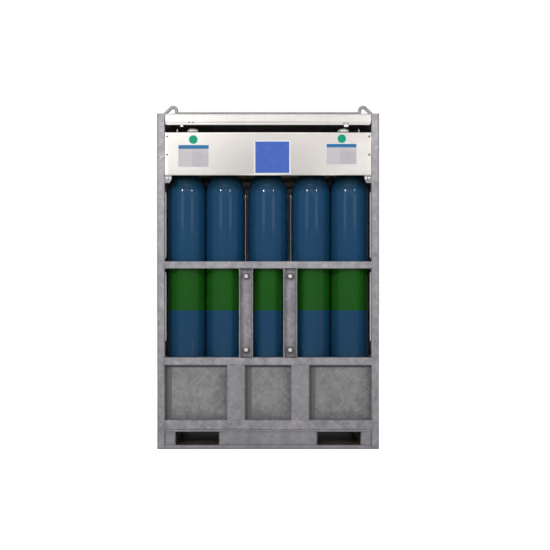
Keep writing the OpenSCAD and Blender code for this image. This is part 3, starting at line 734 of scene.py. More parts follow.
CORNERS = ("front_left", "front_right", "rear_left", "rear_right")
TUBES = ("front_rails", "rear_rails", "side_rails", "rear_uprights", "top_bars")
CYLINDERS = [n for n in sorted(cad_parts) if n.startswith("cylinder_")]

# Lightest and darkest tone, scale of the grain, and metallic share.
METALS = {
    "zinc_plated": ((206, 206, 204), (140, 140, 142), 300.0, 0.9),
    "stainless_fitting": ((222, 220, 216), (160, 158, 156), 400.0, 0.95),
    "valve_brass": ((168, 163, 152), (104, 99, 90), 260.0, 0.9),
    "cast_aluminium": ((232, 230, 226), (160, 158, 156), 420.0, 0.5),
    "black_rubber": ((44, 44, 44), (16, 16, 16), 500.0, 0.0),
    "dark_screw": ((96, 94, 92), (46, 44, 44), 400.0, 0.7),
    # The nuts are dark all over: painted shade for their shaded sides.
    "nut_painted_shade": ((92, 88, 88), (40, 37, 38), 300.0, 0.3),
    "bright_rod": ((214, 210, 210), (150, 147, 147), 300.0, 0.3),
}

# Finishes of the CAD nodes that are shown as they are.
KEPT = {
    # Fork pockets: dark dirty zinc with painted shade.
    "galvanised_dirt_and_shade": ("fork_pocket_left", "fork_pocket_right"),
    "galvanised_low": ("floor_plate",),
    "galvanised_sheet": ("front_kick_sheet", "rear_kick_sheet", "side_kick_sheets"),
    # Side panels: the paler zinc of painted light.
    "galvanised_painted_light": ("side_panels",),
    "galvanised_bracket": ("cover_brackets",),
    "black_rubber": ("clamp_blocks",),
    "stainless": ("side_covers",),
    "valve_brass": ("neck_connectors", "valve_body_left", "valve_body_right", "gland_nuts"),
    "stainless_fitting": ("pigtails", "manifold_header", "spindle_left", "spindle_right"),
}

# Depth below the top of the roof sheet where its dull inner skin, dark as painted shade, begins.
ROOF_SKIN = 1.25 * MM

# Lower left and upper right corners (x, z) of the plates on the front cover, and middles of the round marks.
CARDS = (((-0.527, 1.652), (-0.346, 1.782)), ((0.340, 1.667), (0.519, 1.789)))
MIDDLE_PLATE = ((-0.083, 1.610), (0.132, 1.809))
ROUND_MARKS = ((-0.438, 1.813), (0.4316, 1.8176))
ROUND_RADIUS = 29 * MM

# Places along X: apron screws with their height above its lower edge, ends of the clips, bracket bolts.
APRON_SCREWS = ((-0.462, 16 * MM), (-0.442, 16 * MM), (0.445, 9 * MM), (0.466, 9 * MM))
APRON_CLIPS = ((-0.514, -0.498), (0.445, 0.470))
BRACKET_BOLTS = (-0.573, -0.592, 0.573, 0.592)

# Screens that the covers mirror: place across, height, width, height of the screen and share of the power.
SCREENS = {
    "left": (-2.05, 3.0, 3.1, 1.5, 1.0),
    "right": (1.5, 2.62, 1.8, 0.8, 1.3),
    "middle": (0.0, 3.33, 1.0, 0.85, 1.05),
}
# Lamps that no surface mirrors.
UNMIRRORED = ("front_lamp", "back_left", "back_right")
# Half width of the floor and the number of its grid lines.
FLOOR_HALF = 30.0
FLOOR_LINES = 13


def span(low, high):
    """A box from two triples."""
    return np.array(low, float), np.array(high, float)


class FinishesOperator(bpy.types.Operator):
    """Makes all finishes and puts them on the CAD nodes that stay in sight"""

    bl_idname = "bundle.finishes"
    bl_label = "Finishes"

    def execute(self, context):
        zinc = context.scene.bundle_frame
        cover = context.scene.bundle_covers
        cyl = context.scene.bundle_cylinders
        zinc_spangle_group()
        brushed_sheet_group()
        banded_paint_group()
        worn_metal_group()
        enamel_plate_group()
        look = {"Pale": zinc.pale, "Dark": zinc.dark, "Crystal": 44.0, "Runs": 0.25, "Drag": 0.25}
        # Strengths of the painted shade towards the ground, in recesses and along edges, and of the painted
        # field shadows.
        look.update({"Fade": 0.25, "RecessShade": 0.1, "EdgeShade": 0.85, "FieldShadow": 0.0})
        low = dict(look, Pale=zinc.low_pale, Dark=zinc.low_dark, Fade=0.0, RecessShade=0.0)
        # The kick sheets carry the painted shadows round the lower fields.
        kick = dict(low, Pale=zinc.sheet_pale, Dark=zinc.sheet_dark, Drag=0.28, Runs=0.1, FieldShadow=0.9)
        # Side panels: a paler copy of the zinc, painted light on the folds beside the posts.
        panel = dict(look, Pale=zinc.panel_pale, Dark=zinc.panel_dark, Fade=0.0)
        bracket = dict(panel, Pale=zinc.bracket_pale, Dark=zinc.bracket_dark)
        # Fork pockets: dark dirty zinc with strong painted shade in their recesses.
        pocket = dict(low, Pale=zinc.pocket_pale, Dark=zinc.pocket_dark, RecessShade=0.6)
        zincs = {
            "galvanised": look,
            "galvanised_low": low,
            "galvanised_sheet": kick,
            "galvanised_painted_light": panel,
            "galvanised_bracket": bracket,
        }
        for name, values in zincs.items():
            finish(name, "zinc_spangle", values, metallic=0.2)
        weld = dict(look, Crystal=160.0, Runs=0.0)
        finish("galvanised_weld", "zinc_spangle", weld, metallic=0.2, relief=0.3)
        finish("galvanised_dirt_and_shade", "zinc_spangle", pocket, gloss=0.1)
        # The covers' inner skin gets a dark tone of painted shade.
        rolled = {"Pale": cover.pale, "Dark": cover.dark, "Shaded skin": cover.dull, "Lines": 0.5}
        roof_low, roof_high = box("roof_cover")
        skins = {
            "stainless": (0.0, cad_high[Z]),
            "stainless_cover": (-box("front_cover")[0][Y] - cover.thick / 2, cad_high[Z]),
            "stainless_roof": (-roof_low[Y] - cover.thick / 2, roof_high[Z] - ROOF_SKIN),
        }
        for name, (skin, ceiling) in skins.items():
            values = dict(rolled, Skin=skin, Ceiling=ceiling)
            finish(name, "brushed_sheet", values, metallic=0.85, relief=0.06, depth=0.2 * MM)
        paint = {"Body": cyl.body, "Band": cyl.band, "Scuff": cyl.scuff, "Grime and shade": cyl.grime_and_shade}
        paint.update({"Band low": cyl.band_low, "Band high": cyl.band_high})
        paint.update({"Shoulder shadow low": cyl.shoulder_shadow_low, "Shoulder shadow high": cyl.shoulder_shadow_high})
        finish("cylinder_paint", "banded_paint", paint, relief=0.015, depth=0.2 * MM, gloss=0.1)
        for name, (pale, dark, grain, metallic) in METALS.items():
            values = {"Pale": tone(*pale), "Dark": tone(*dark), "Grain": grain}
            finish(name, "worn_metal", values, metallic, relief=0.25)
        bare = {"Border": cover.rim, "Header from": 2.0, "Rule count": 0.0, "Round": 0.0, "Block": 0.0}
        card = {"Field": cover.card, "Header": cover.card_band, "Rules": cover.card_rules}
        card.update({"Header from": 0.82, "Border width": 0.012, "Rule count": 60.0, "Block": 0.5})
        plates = {
            "card_plate": card,
            "round_mark": {"Field": cover.disc, "Border width": 0.067, "Round": 1.0},
            "middle_plate": {"Field": cover.plate, "Border width": 0.038},
        }
        for name, values in plates.items():
            finish(name, "enamel_plate", {**bare, **values}, relief=0.05, coords="UV", gloss=0.1)
        for name, nodes in KEPT.items():
            for node in nodes:
                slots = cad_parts[node].data.materials
                slots.clear()
                slots.append(FINISHES[name])
        return {"FINISHED"}


class PostsOperator(bpy.types.Operator):
    """Corner posts with round edges"""

    bl_idname = "bundle.posts"
    bl_label = "Corner posts"

    def execute(self, context):
        edge = context.scene.bundle_frame.tube_edge
        for corner in CORNERS:
            node = "post_" + corner
            shell = bar(*box(node), Z, edge, edge / 3)
            piece(node + "_tube", [shell], "galvanised", replaces=[node])
        return {"FINISHED"}


class RailsOperator(bpy.types.Operator):
    """Rails, uprights and flat bars: each solid's box filled by a round-edged bar along its longest side"""

    bl_idname = "bundle.rails"
    bl_label = "Rails and bars"

    def execute(self, context):
        sizes = context.scene.bundle_frame
        for node in TUBES:
            shells = []
            for low, high in solids(node):
                size = high - low
                edge = sizes.tube_edge if size.min() > 4 * sizes.tube_edge else sizes.plate_edge
                shells.append(bar(low, high, int(np.argmax(size)), edge, edge / 6))
            finish_name = "galvanised_low" if node == "top_bars" else "galvanised"
            piece(node + "_bars", shells, finish_name, replaces=[node])
        return {"FINISHED"}


def beam_boxes(run, depth, height, windows):
    """Boxes (run, depth, height) of a base beam: two lips, two inner flanges, web pieces between windows."""
    d0, d1, d2, d3 = depth
    z0, z1, z2, z3, z4, z5 = height
    a0, a1 = run
    boxes = [
        ((a0, d0, z3), (a1, d2, z5)),
        ((a0, d2, z4), (a1, d3, z5)),
        ((a0, d0, z0), (a1, d2, z2)),
        ((a0, d2, z0), (a1, d3, z1)),
    ]
    edges = [a0, *[w for pair in windows for w in pair], a1]
    for start, stop in zip(edges[::2], edges[1::2]):
        boxes.append(((start, d1, z2), (stop, d2, z3)))
    return boxes


class BaseOperator(bpy.types.Operator):
    """Base beams with lips, flanges and webs that leave the fork windows open"""

    bl_idname = "bundle.base"
    bl_label = "Base beams"

    def execute(self, context):
        edge = context.scene.bundle_frame.plate_edge
        depth = levels("base_beam_front", Y) - cad_low[Y]
        height = levels("base_beam_front", Z)
        low, high = box("base_beam_front")
        pockets = [box(n) for n in ("fork_pocket_left", "fork_pocket_right")]
        windows = [(p[0][X], p[1][X]) for p in pockets]
        front = [bar(*span(a, b), X, edge) for a, b in beam_boxes((low[X], high[X]), depth, height, windows)]
        front = [shifted(shell, (0, cad_low[Y], 0)) for shell in front]
        piece("base_beam_front_steel", front, "galvanised_low", replaces=["base_beam_front"])
        rear = [mirrored(shell, Y) for shell in front]
        piece("base_beam_rear_steel", rear, "galvanised_low", replaces=["base_beam_rear"])
        run = [b[Y] for b in box("base_beams_side")]
        side = []
        for a, b in beam_boxes(run, depth, height, []):
            low, high = span((a[1], a[0], a[2]), (b[1], b[0], b[2]))
            side.append(shifted(bar(low, high, Y, edge), (cad_low[X], 0, 0)))
        side += [mirrored(shell, X) for shell in side]
        piece("base_beams_side_steel", side, "galvanised_low", replaces=["base_beams_side"])
        return {"FINISHED"}


def channel_outline(width, depth, back, leg, bend, fillet, tip):
    """Outline of a channel: its back on v = 0, two legs up to v = depth.

    Outer corners are arcs of radius bend, inner ones of radius fillet, and the leg ends of radius tip.
    """
    fall, rise = quarter(1.0, 6)
    outer_u = np.concatenate([tip * fall[::-1], bend * rise]) - width / 2
    outer_v = np.concatenate([depth - tip * rise[::-1], bend * fall])
    inner_u = np.concatenate([fillet * fall, -tip * rise[::-1]]) + leg - width / 2
    inner_v = np.concatenate([back + fillet * rise, depth - tip * fall[::-1]])
    u = np.concatenate([outer_u, -outer_u[::-1], -inner_u[::-1], inner_u])
    v = np.concatenate([outer_v, outer_v[::-1], inner_v[::-1], inner_v])
    return u, v


def channel(low, high, back_first, **shape):
    """A channel outline carried up Z inside a box, with its back at the low or at the high end of Y."""
    u, v = channel_outline(high[X] - low[X], high[Y] - low[Y], **shape)
    y = low[Y] + v if back_first else high[Y] - v
    x = (low[X] + high[X]) / 2 + u
    z = np.array([low[Z], high[Z]])[:, None]
    return loft(on_axes(x[None], y[None], z, Z))


class PanelsOperator(bpy.types.Operator):
    """Mullions folded from sheet between the lower fields, and the clamp channels above them"""

    bl_idname = "bundle.panels"
    bl_label = "Mullions and clamp channels"

    def execute(self, context):
        sizes = context.scene.bundle_frame
        wall = sizes.mullion_wall
        fold = {"back": wall, "leg": wall, "bend": sizes.mullion_bend, "fillet": wall / 2, "tip": wall / 4}
        mullions = [channel(low, high, low[Y] < 0, **fold) for low, high in solids("mullions")]
        piece("mullion_folds", mullions, "galvanised_low", replaces=["mullions"])
        leg = sizes.flange
        rolled = {"back": leg * 0.75, "leg": leg, "bend": sizes.plate_edge}
        rolled.update({"fillet": sizes.channel_fillet, "tip": leg / 3})
        channels = [channel(low, high, low[Y] > 0, **rolled) for low, high in solids("clamp_channels")]
        piece("clamp_channel_steel", channels, "galvanised", replaces=["clamp_channels"])
        return {"FINISHED"}


def hexagon(angle):
    """Distance from the middle to a hexagon's edge in half widths across flats, corners at 30 degrees."""
    return 1 / np.cos((angle + math.radians(30)) % math.radians(60) - math.radians(30))


def hex_nut(low, high, bore):
    """A nut along Y in a box: a hexagon cut back by a cone at both faces, round a chamfered bore."""
    flat = (high - low)[Z] / 2
    tall = (high - low)[Y]
    rise = np.array([0.06, 0.0, 0.0, 0.05, 0.12, 0.88, 0.95, 1.0, 1.0, 0.94])
    cone = 0.95 + np.minimum(rise, 1 - rise) * tall * math.sqrt(3) / flat
    index = np.arange(len(rise))
    outer = (index > 1) & (index < 8)
    radii = np.where(outer, flat, np.where(index % 9 == 0, bore, bore * 1.1))

    def lobes(angle, row):
        return np.where(outer[row], np.minimum(hexagon(angle), cone[row]), 1.0)

    return lathe(radii, rise * tall - tall / 2, (low + high) / 2, 48, Y, lobes)


def ring(low, high, bore, bevel):
    """A washer in a box: a rectangle with bevelled outer corners turned about Y."""
    outer = (high - low)[Z] / 2
    half = (high - low)[Y] / 2
    radii = [bore, outer - bevel, outer, outer, outer - bevel, bore]
    heights = [-half, -half, bevel - half, half - bevel, half, half]
    return lathe(radii, heights, (low + high) / 2, 48, Y)


def threaded_rod(low, high, pitch, run):
    """A rod along Y in a box, turned about Y, with a V thread of a pitch cut over a run at both ends."""
    radius = (high - low)[X] / 2
    half = (high - low)[Y] / 2
    cut = 0.55 * pitch
    count = int(run / pitch * 6)
    y = np.concatenate([[0, 0], np.linspace(cut, run, count), [run + cut]]) - half
    y = np.concatenate([y, -y[::-1]])
    base = np.concatenate([[0, radius - cut], np.full(count + 1, radius)])
    base = np.concatenate([base, base[::-1]])
    threaded = np.abs(np.abs(y) - half + run / 2) < run / 2

    def lobes(angle, row):
        saw = (y[row] / pitch - angle / TAU) % 1
        groove = cut / radius * (1 - np.abs(2 * saw - 1))
        return np.where(threaded[row], 1 - groove, 1.0)

    return lathe(base, y, (low + high) / 2, 32, Y, lobes)


class ClampsOperator(bpy.types.Operator):
    """Tie rods with cut threads at their ends, chamfered nuts and washers"""

    bl_idname = "bundle.clamps"
    bl_label = "Tie rods and nuts"

    def execute(self, context):
        sizes = context.scene.bundle_frame
        boxes = solids("tie_rods")
        rods = [threaded_rod(low, high, sizes.thread_pitch, sizes.thread_run) for low, high in boxes]
        low, high = boxes[-1]
        radius = (high - low)[X] / 2
        piece("tie_rod_threads", rods, "bright_rod", replaces=["tie_rods"])
        nuts = [hex_nut(low, high, radius) for low, high in solids("tie_rod_nuts")]
        piece("tie_rod_hex_nuts", nuts, "nut_painted_shade", replaces=["tie_rod_nuts"])
        rings = [ring(low, high, radius * 1.06, bevel=0.6 * MM) for low, high in solids("tie_rod_washers")]
        piece("tie_rod_rings", rings, "galvanised", replaces=["tie_rod_washers"])
        return {"FINISHED"}


class EyesOperator(bpy.types.Operator):
    """Lifting eyes: a round bar along an upright leg, a bend and a slanted leg, with welds round its feet"""

    bl_idname = "bundle.eyes"
    bl_label = "Lifting eyes"

    def execute(self, context):
        sizes = context.scene.bundle_frame
        for corner in CORNERS:
            node = "lifting_eye_" + corner
            low, high = box(node)
            side = 1 if low[X] > 0 else -1
            radius = (high - low)[Y] / 2
            bend = sizes.eye_bend
            mid_x = min(abs(low[X]), abs(high[X])) + bend + radius
            mid_z = high[Z] - bend - radius
            foot = low[Z]
            turn = np.radians(np.linspace(180, 45, 28))
            arc = np.stack([mid_x + bend * np.cos(turn), mid_z + bend * np.sin(turn)], -1)
            leg = np.linspace(foot - 2 * MM, mid_z, 6, endpoint=False)
            up = np.stack([0 * leg + mid_x - bend, leg], -1)
            drop = arc[-1, 1] - foot
            foot_x = arc[-1, 0] + drop
            down = arc[-1] + np.linspace(0, drop + 0.7 * radius, 8)[1:, None] * np.array([1.0, -1.0])
            line = np.concatenate([up, arc, down])
            path = np.stack([side * line[:, 0], np.full(len(line), (low + high)[Y] / 2), line[:, 1]], -1)
            shells = [sweep(path, radius, 24)]
            angle = np.linspace(0, TAU, 40, endpoint=False)
            ripple = sizes.weld * (1 + 0.15 * np.sin(9 * angle))
            for x, wide in ((mid_x - bend, 1.0), (foot_x, math.sqrt(2))):
                px = side * (x + wide * (radius + sizes.weld / 3) * np.cos(angle))
                py = path[0, Y] + (radius + sizes.weld / 3) * np.sin(angle)
                limit = high[X] if side > 0 else -low[X]
                px = np.clip(px, -limit, limit)
                seam = np.stack([px, py, np.full(40, foot + sizes.weld / 4)], -1)
                shells.append(sweep(seam, ripple, 8, close=True))
            piece(node + "_bar", shells, "galvanised", replaces=[node])
        return {"FINISHED"}


class RoofOperator(bpy.types.Operator):
    """Roof sheet folded down into a front and a rear apron with creases, a hem and round lower corners"""

    bl_idname = "bundle.roof"
    bl_label = "Roof and aprons"

    def execute(self, context):
        sizes = context.scene.bundle_covers
        low, high = box("roof_cover")
        post = box("post_front_right")[0][X]
        across = levels("roof_cover", X)
        half = across[across < post].max()
        fold_in, fold_up = quarter(sizes.fold)
        crease = 0.4 * MM
        top = high[Z] - low[Z]
        lower_crease = np.array([9, 11, 13, 15]) * MM
        upper_crease = top - np.array([7, 5.5]) * MM
        flat = np.linspace(22 * MM, top - 12 * MM, 8)
        inward = [[sizes.hem], fold_in, [0, crease, crease, 0], 0 * flat, [crease, 0], fold_in[::-1]]
        upward = [[0], fold_up, lower_crease, flat, upper_crease, top - fold_up[::-1]]
        y = low[Y] + np.concatenate(inward)
        z = low[Z] + np.concatenate(upward)
        crown = np.linspace(y[-1], -y[-1], 24)[1:-1]
        y = np.concatenate([y, crown, -y[::-1]])
        z = np.concatenate([z, np.full(len(crown), high[Z]), z[::-1]])
        rise = np.clip(sizes.corner - (z - low[Z]), 0, sizes.corner)
        wide = half - sizes.corner + np.sqrt(sizes.corner**2 - rise**2)
        x = wide[:, None] * np.linspace(-1, 1, 81)
        outermost = np.clip((np.abs(y) - np.abs(y).max()) / MM + 1, 0, 1)
        face = outermost * np.clip((high[Z] - z) / (20 * MM), 0, 1)
        shallow = 0.3 * sizes.swell
        wave = (flat_wave(x, z[:, None] * 2, shallow) + shallow) * face[:, None]
        yy = y[:, None] - np.sign(y)[:, None] * wave
        dip = (1 - (y / y.max()) ** 2) * (np.abs(y) < y.max() - sizes.hem)
        zz = z[:, None] - dip[:, None] * (sizes.swell + flat_wave(x, y[:, None], sizes.swell))
        shells = [sheet(np.stack(np.broadcast_arrays(x, yy, zz), -1), sizes.thick)]
        deep = levels("roof_cover", Y)
        clear = 8 * MM
        wing = deep[deep < box("post_front_right")[1][Y] + clear].max()
        for side in (-1, 1):
            start, stop = sorted([side * half, side * high[X]])
            strip = span((start, wing, high[Z] - sizes.thick), (stop, -wing, high[Z]))
            shells.append(bar(*strip, Y, sizes.thick / 4))
        piece("roof_folded_sheet", shells, "stainless_roof", replaces=["roof_cover"])
        return {"FINISHED"}


class CoversOperator(bpy.types.Operator):
    """Front and rear cover: a slightly waved face, rolled at its sides, folded back above and hemmed below"""

    bl_idname = "bundle.covers"
    bl_label = "Front and rear covers"

    def cover(self, sizes, low, high):
        """The sheet of one cover and its hem, both facing -Y."""
        fold_in, fold_up = quarter(sizes.fold)
        edge_in, edge_up = quarter(sizes.thick)
        tall = high[Z] - low[Z]
        flat = np.linspace(6 * MM, tall - 8 * MM, 24)
        inward = np.concatenate([edge_in, 0 * flat, fold_in[::-1], [sizes.hem]])
        z = low[Z] + np.concatenate([edge_up, flat, tall - fold_up[::-1], [tall]])
        turn = np.linspace(0, math.radians(80), 5)
        roll = 2 * MM
        side = high[X] - roll + roll * np.sin(turn)
        middle = np.linspace(-side[0], side[0], 61)[1:-1]
        x = np.concatenate([-side[::-1], middle, side])
        back = roll * (1 - np.cos(np.concatenate([turn[::-1], 0 * middle, turn])))
        face = (inward == 0)[:, None]
        swell = flat_wave(x, z[:, None], sizes.swell)
        y = low[Y] + inward[:, None] + np.where(face, back, 0.0) + swell * face
        y = np.maximum(y, cad_low[Y])
        shell = sheet(np.stack(np.broadcast_arrays(x, y, z[:, None]), -1), sizes.thick)
        inner = np.abs(levels("cover_brackets", X)).min() - 2 * MM
        hem = span((-inner, low[Y] + sizes.thick, low[Z]), (inner, low[Y] + sizes.hem, low[Z] + sizes.thick))
        return [shell, bar(*hem, X, sizes.thick / 4)]

    def execute(self, context):
        sizes = context.scene.bundle_covers
        front = self.cover(sizes, *box("front_cover"))
        piece("front_cover_folded", front, "stainless_cover", replaces=["front_cover"])
        low, high = box("rear_cover")
        low[Y], high[Y] = -high[Y], -low[Y]
        rear = [mirrored(part, Y) for part in self.cover(sizes, low, high)]
        piece("rear_cover_folded", rear, "stainless_cover", replaces=["rear_cover"])
        return {"FINISHED"}


class PlatesOperator(bpy.types.Operator):
    """Plain plates and round marks on the front cover, thin sheets that follow the swell of the cover"""

    bl_idname = "bundle.plates"
    bl_label = "Plain plates"

    def execute(self, context):
        swell = context.scene.bundle_covers.swell
        face = box("front_cover")[0][Y]
        cards = [plate(*ends, face, swell, corner=4 * MM, proud=0.4 * MM) for ends in CARDS]
        piece("cover_cards", cards, "card_plate")
        middle = plate(*MIDDLE_PLATE, face, swell, corner=6 * MM, proud=0.5 * MM)
        piece("cover_middle_plate", [middle], "middle_plate")
        marks = []
        for x, z in ROUND_MARKS:
            low = (x - ROUND_RADIUS, z - ROUND_RADIUS)
            high = (x + ROUND_RADIUS, z + ROUND_RADIUS)
            marks.append(plate(low, high, face, swell, corner=0.999 * ROUND_RADIUS, proud=0.8 * MM))
        piece("cover_round_marks", marks, "round_mark")
        return {"FINISHED"}


class CylindersOperator(bpy.types.Operator):
    """Cylinders: a dished foot, a straight wall, an elliptic shoulder and a neck, turned about Z"""

    bl_idname = "bundle.cylinders"
    bl_label = "Gas cylinders"

    def execute(self, context):
        sizes = context.scene.bundle_cylinders
        for node in CYLINDERS:
            low, high = box(node)
            radius = (high - low)[X] / 2
            mid = (low + high) / 2
            top = high[Z] - low[Z]
            straight = top - sizes.neck - sizes.shoulder
            foot_in, foot_z = quarter(sizes.foot, 9)
            arc = np.linspace(0, math.pi / 2, 36)
            wall = np.linspace(sizes.foot, straight, 12)[1:-1]
            neck = sizes.neck_radius
            dome_r = neck + (radius - neck) * np.cos(arc)
            dome_z = straight + sizes.shoulder * np.sin(arc)
            rim = 1.5 * MM
            tip_r = [neck, neck - rim, 0.6 * neck, 0]
            tip_z = [top - rim, top, top, top - 4 * MM]
            foot_r = radius - np.concatenate([[2 * sizes.foot], foot_in, 0 * wall])
            r = np.concatenate([[0], foot_r, dome_r, tip_r])
            z = np.concatenate([[sizes.foot, MM], foot_z, wall, dome_z, tip_z])
            shell = lathe(r, z, (mid[X], mid[Y], low[Z]), 96)
            paint = "cylinder_paint"
            piece(node + "_shell", [shell], paint, replaces=[node], sharp=50)
        return {"FINISHED"}


def handwheel(low, high, points):
    """A dome turned about Z in a box, as wide as the points: seven finger hollows in its rim, a hub below."""
    mid = (low + high) / 2
    radius = np.hypot(points[:, X] - mid[X], points[:, Y] - mid[Y]).max()
    arc = np.linspace(0, math.pi / 2, 10)
    under_r = np.array([0.0, 0.28, 0.29, 0.68, 0.74, 0.84, 0.95, 0.995])
    under_z = np.array([0.05, 0.05, 0.30, 0.30, 0.16, 0.13, 0.17, 0.28])
    r = radius * np.concatenate([under_r, np.cos(arc)])
    z = (high - low)[Z] * np.concatenate([under_z, 0.5 + 0.5 * np.sin(arc)])
    r[-1] = 0

    def lobes(angle, row):
        hollow = np.clip(np.cos(7 * angle), 0, 1) ** 1.5
        return 1 - 0.13 * hollow * np.clip((r[row] / radius - 0.6) / 0.3, 0, 1)

    return lathe(r, z, (mid[X], mid[Y], low[Z]), 112, Z, lobes)


class HandwheelsOperator(bpy.types.Operator):
    """Handwheels of the two main valves"""

    bl_idname = "bundle.handwheels"
    bl_label = "Handwheels"

    def execute(self, context):
        for name in ("left", "right"):
            node = "handwheel_" + name
            shell = handwheel(*box(node), node_points(node))
            piece(node + "_casting", [shell], "cast_aluminium", "valve_" + name, [node])
        return {"FINISHED"}


def pan_head(x, y, z, radius, tall, shank, tail):
    """A screw along Y, its head towards -Y: a low dome with a six-lobed recess, a shank and a flat tail."""
    drive = 0.45
    r = radius * np.array([0, drive * 0.9, drive, 0.72, 0.93, 1.0, 1.0])
    h = tall * np.array([0.55, 0.55, 0.04, 0.0, 0.3, 0.65, 1.0])
    r = np.concatenate([r, [shank, shank, 0]])
    h = np.concatenate([h, [tall, tail, tail]])

    def lobes(angle, row):
        return np.where((row == 1) | (row == 2), 1 + 0.16 * np.cos(6 * angle), 1.0)

    return lathe(r, h, (x, y, z), 36, Y, lobes)


def hex_head(x, y, z, flat, tall):
    """A bolt head along Y towards -Y: a hexagon with a coned face on a round flange."""
    r = flat * np.array([0, 0.9, 1.0, 1.0, 1.0, 1.28, 1.3, 0])
    h = tall * np.array([0, 0.0, 0.12, 0.5, 0.72, 0.78, 1.0, 1.0])

    def lobes(angle, row):
        cone = np.where(row == 2, 1.06, 2.0)
        return np.where((row > 1) & (row < 5), np.minimum(hexagon(angle), cone), 1.0)

    return lathe(r, h, (x, y, z), 48, Y, lobes)


class FastenersOperator(bpy.types.Operator):
    """Cover screws, apron screws with their clips, and the bolts on the bracket plates"""

    bl_idname = "bundle.fasteners"
    bl_label = "Screws and bolts"

    def execute(self, context):
        edge = context.scene.bundle_covers.thick / 4
        screws = []
        for low, high in solids("cover_screws"):
            x, _, z = (low + high) / 2
            deep = high[Y] - low[Y]
            radius = (high - low)[X] / 2
            face = min(low[Y], -high[Y])
            screw = pan_head(x, face, z, radius, tall=2.6 * MM, shank=radius / 2, tail=deep)
            screws.append(mirrored(screw, Y) if low[Y] > 0 else screw)
        piece("cover_pan_screws", screws, "dark_screw", replaces=["cover_screws"])
        foot = box("roof_cover")[0]
        face = foot[Y] - 1.8 * MM
        size = {"radius": 4.5 * MM, "tall": 2 * MM, "shank": 2 * MM, "tail": 7 * MM}
        apron = [pan_head(x, face, foot[Z] + up, **size) for x, up in APRON_SCREWS]
        piece("apron_screws", apron, "dark_screw")
        clips = []
        for start, stop in APRON_CLIPS:
            low = (start, foot[Y] + MM, foot[Z] - 10 * MM)
            upright = span(low, (stop, foot[Y] + 2.5 * MM, foot[Z] + MM))
            level = span(low, (stop, foot[Y] + 12 * MM, foot[Z] - 8.5 * MM))
            clips += [bar(*upright, X, edge), bar(*level, X, edge)]
        piece("apron_clips", clips, "stainless_fitting")
        face = box("cover_brackets")[0][Y] - 4 * MM
        drop = box("front_cover")[0][Z] - 16 * MM
        bolts = [hex_head(x, face, drop, flat=5.5 * MM, tall=4.5 * MM) for x in BRACKET_BOLTS]
        piece("bracket_bolts", bolts, "zinc_plated")
        return {"FINISHED"}


class WeldsOperator(bpy.types.Operator):
    """Weld beads where rails, lips, mullions and channels meet the steel beside them"""

    bl_idname = "bundle.welds"
    bl_label = "Weld beads"

    def execute(self, context):
        weld = context.scene.bundle_frame.weld
        inner = box("post_front_right")[0][X]
        beads = []
        rails = [b for b in solids("front_rails") if (b[1] - b[0]).min() > 4 * weld]
        for low, high in rails:
            for x in (-inner, inner):
                y = low[Y] + 0.6 * weld
                beads.append(bead((x, y, low[Z] + weld), (x, y, high[Z] - weld), weld, low[Z] * 40 + x))
        lips = levels("base_beam_front", Z)
        face = levels("base_beam_front", Y)[0] + 0.6 * weld
        for start, stop in ((lips[0], lips[2]), (lips[3], lips[5])):
            for x in (-inner, inner):
                beads.append(bead((x, face, start + weld), (x, face, stop - weld), weld * 0.8, x))
        run = 26 * MM
        for low, high in MULLIONS:
            y = low[Y] + weld / 3
            for z in (low[Z], high[Z]):
                for a, b in ((low[X], low[X] + run), (high[X] - run, high[X])):
                    beads.append(bead((a, y, z), (b, y, z), weld * 0.7, a * 90))
        channels = [b for b in solids("clamp_channels") if b[0][Y] < 0]
        for low, high in channels:
            for z in (low[Z], high[Z]):
                for x in (low[X], high[X]):
                    beads.append(bead((x, low[Y] + weld, z), (x, high[Y] - weld, z), weld, x * 70 + z))
        beads += [mirrored(b, Y) for b in beads]
        rails = [b for b in solids("side_rails") if b[0][X] > 0]
        for low, high in rails:
            x = high[X] - 0.6 * weld
            for y in (low[Y], high[Y]):
                side = bead((x, y, low[Z] + weld), (x, y, high[Z] - weld), weld, y + low[Z] * 30)
                beads += [side, mirrored(side, X)]
        piece("weld_beads", beads, "galvanised_weld", sharp=60)
        return {"FINISHED"}


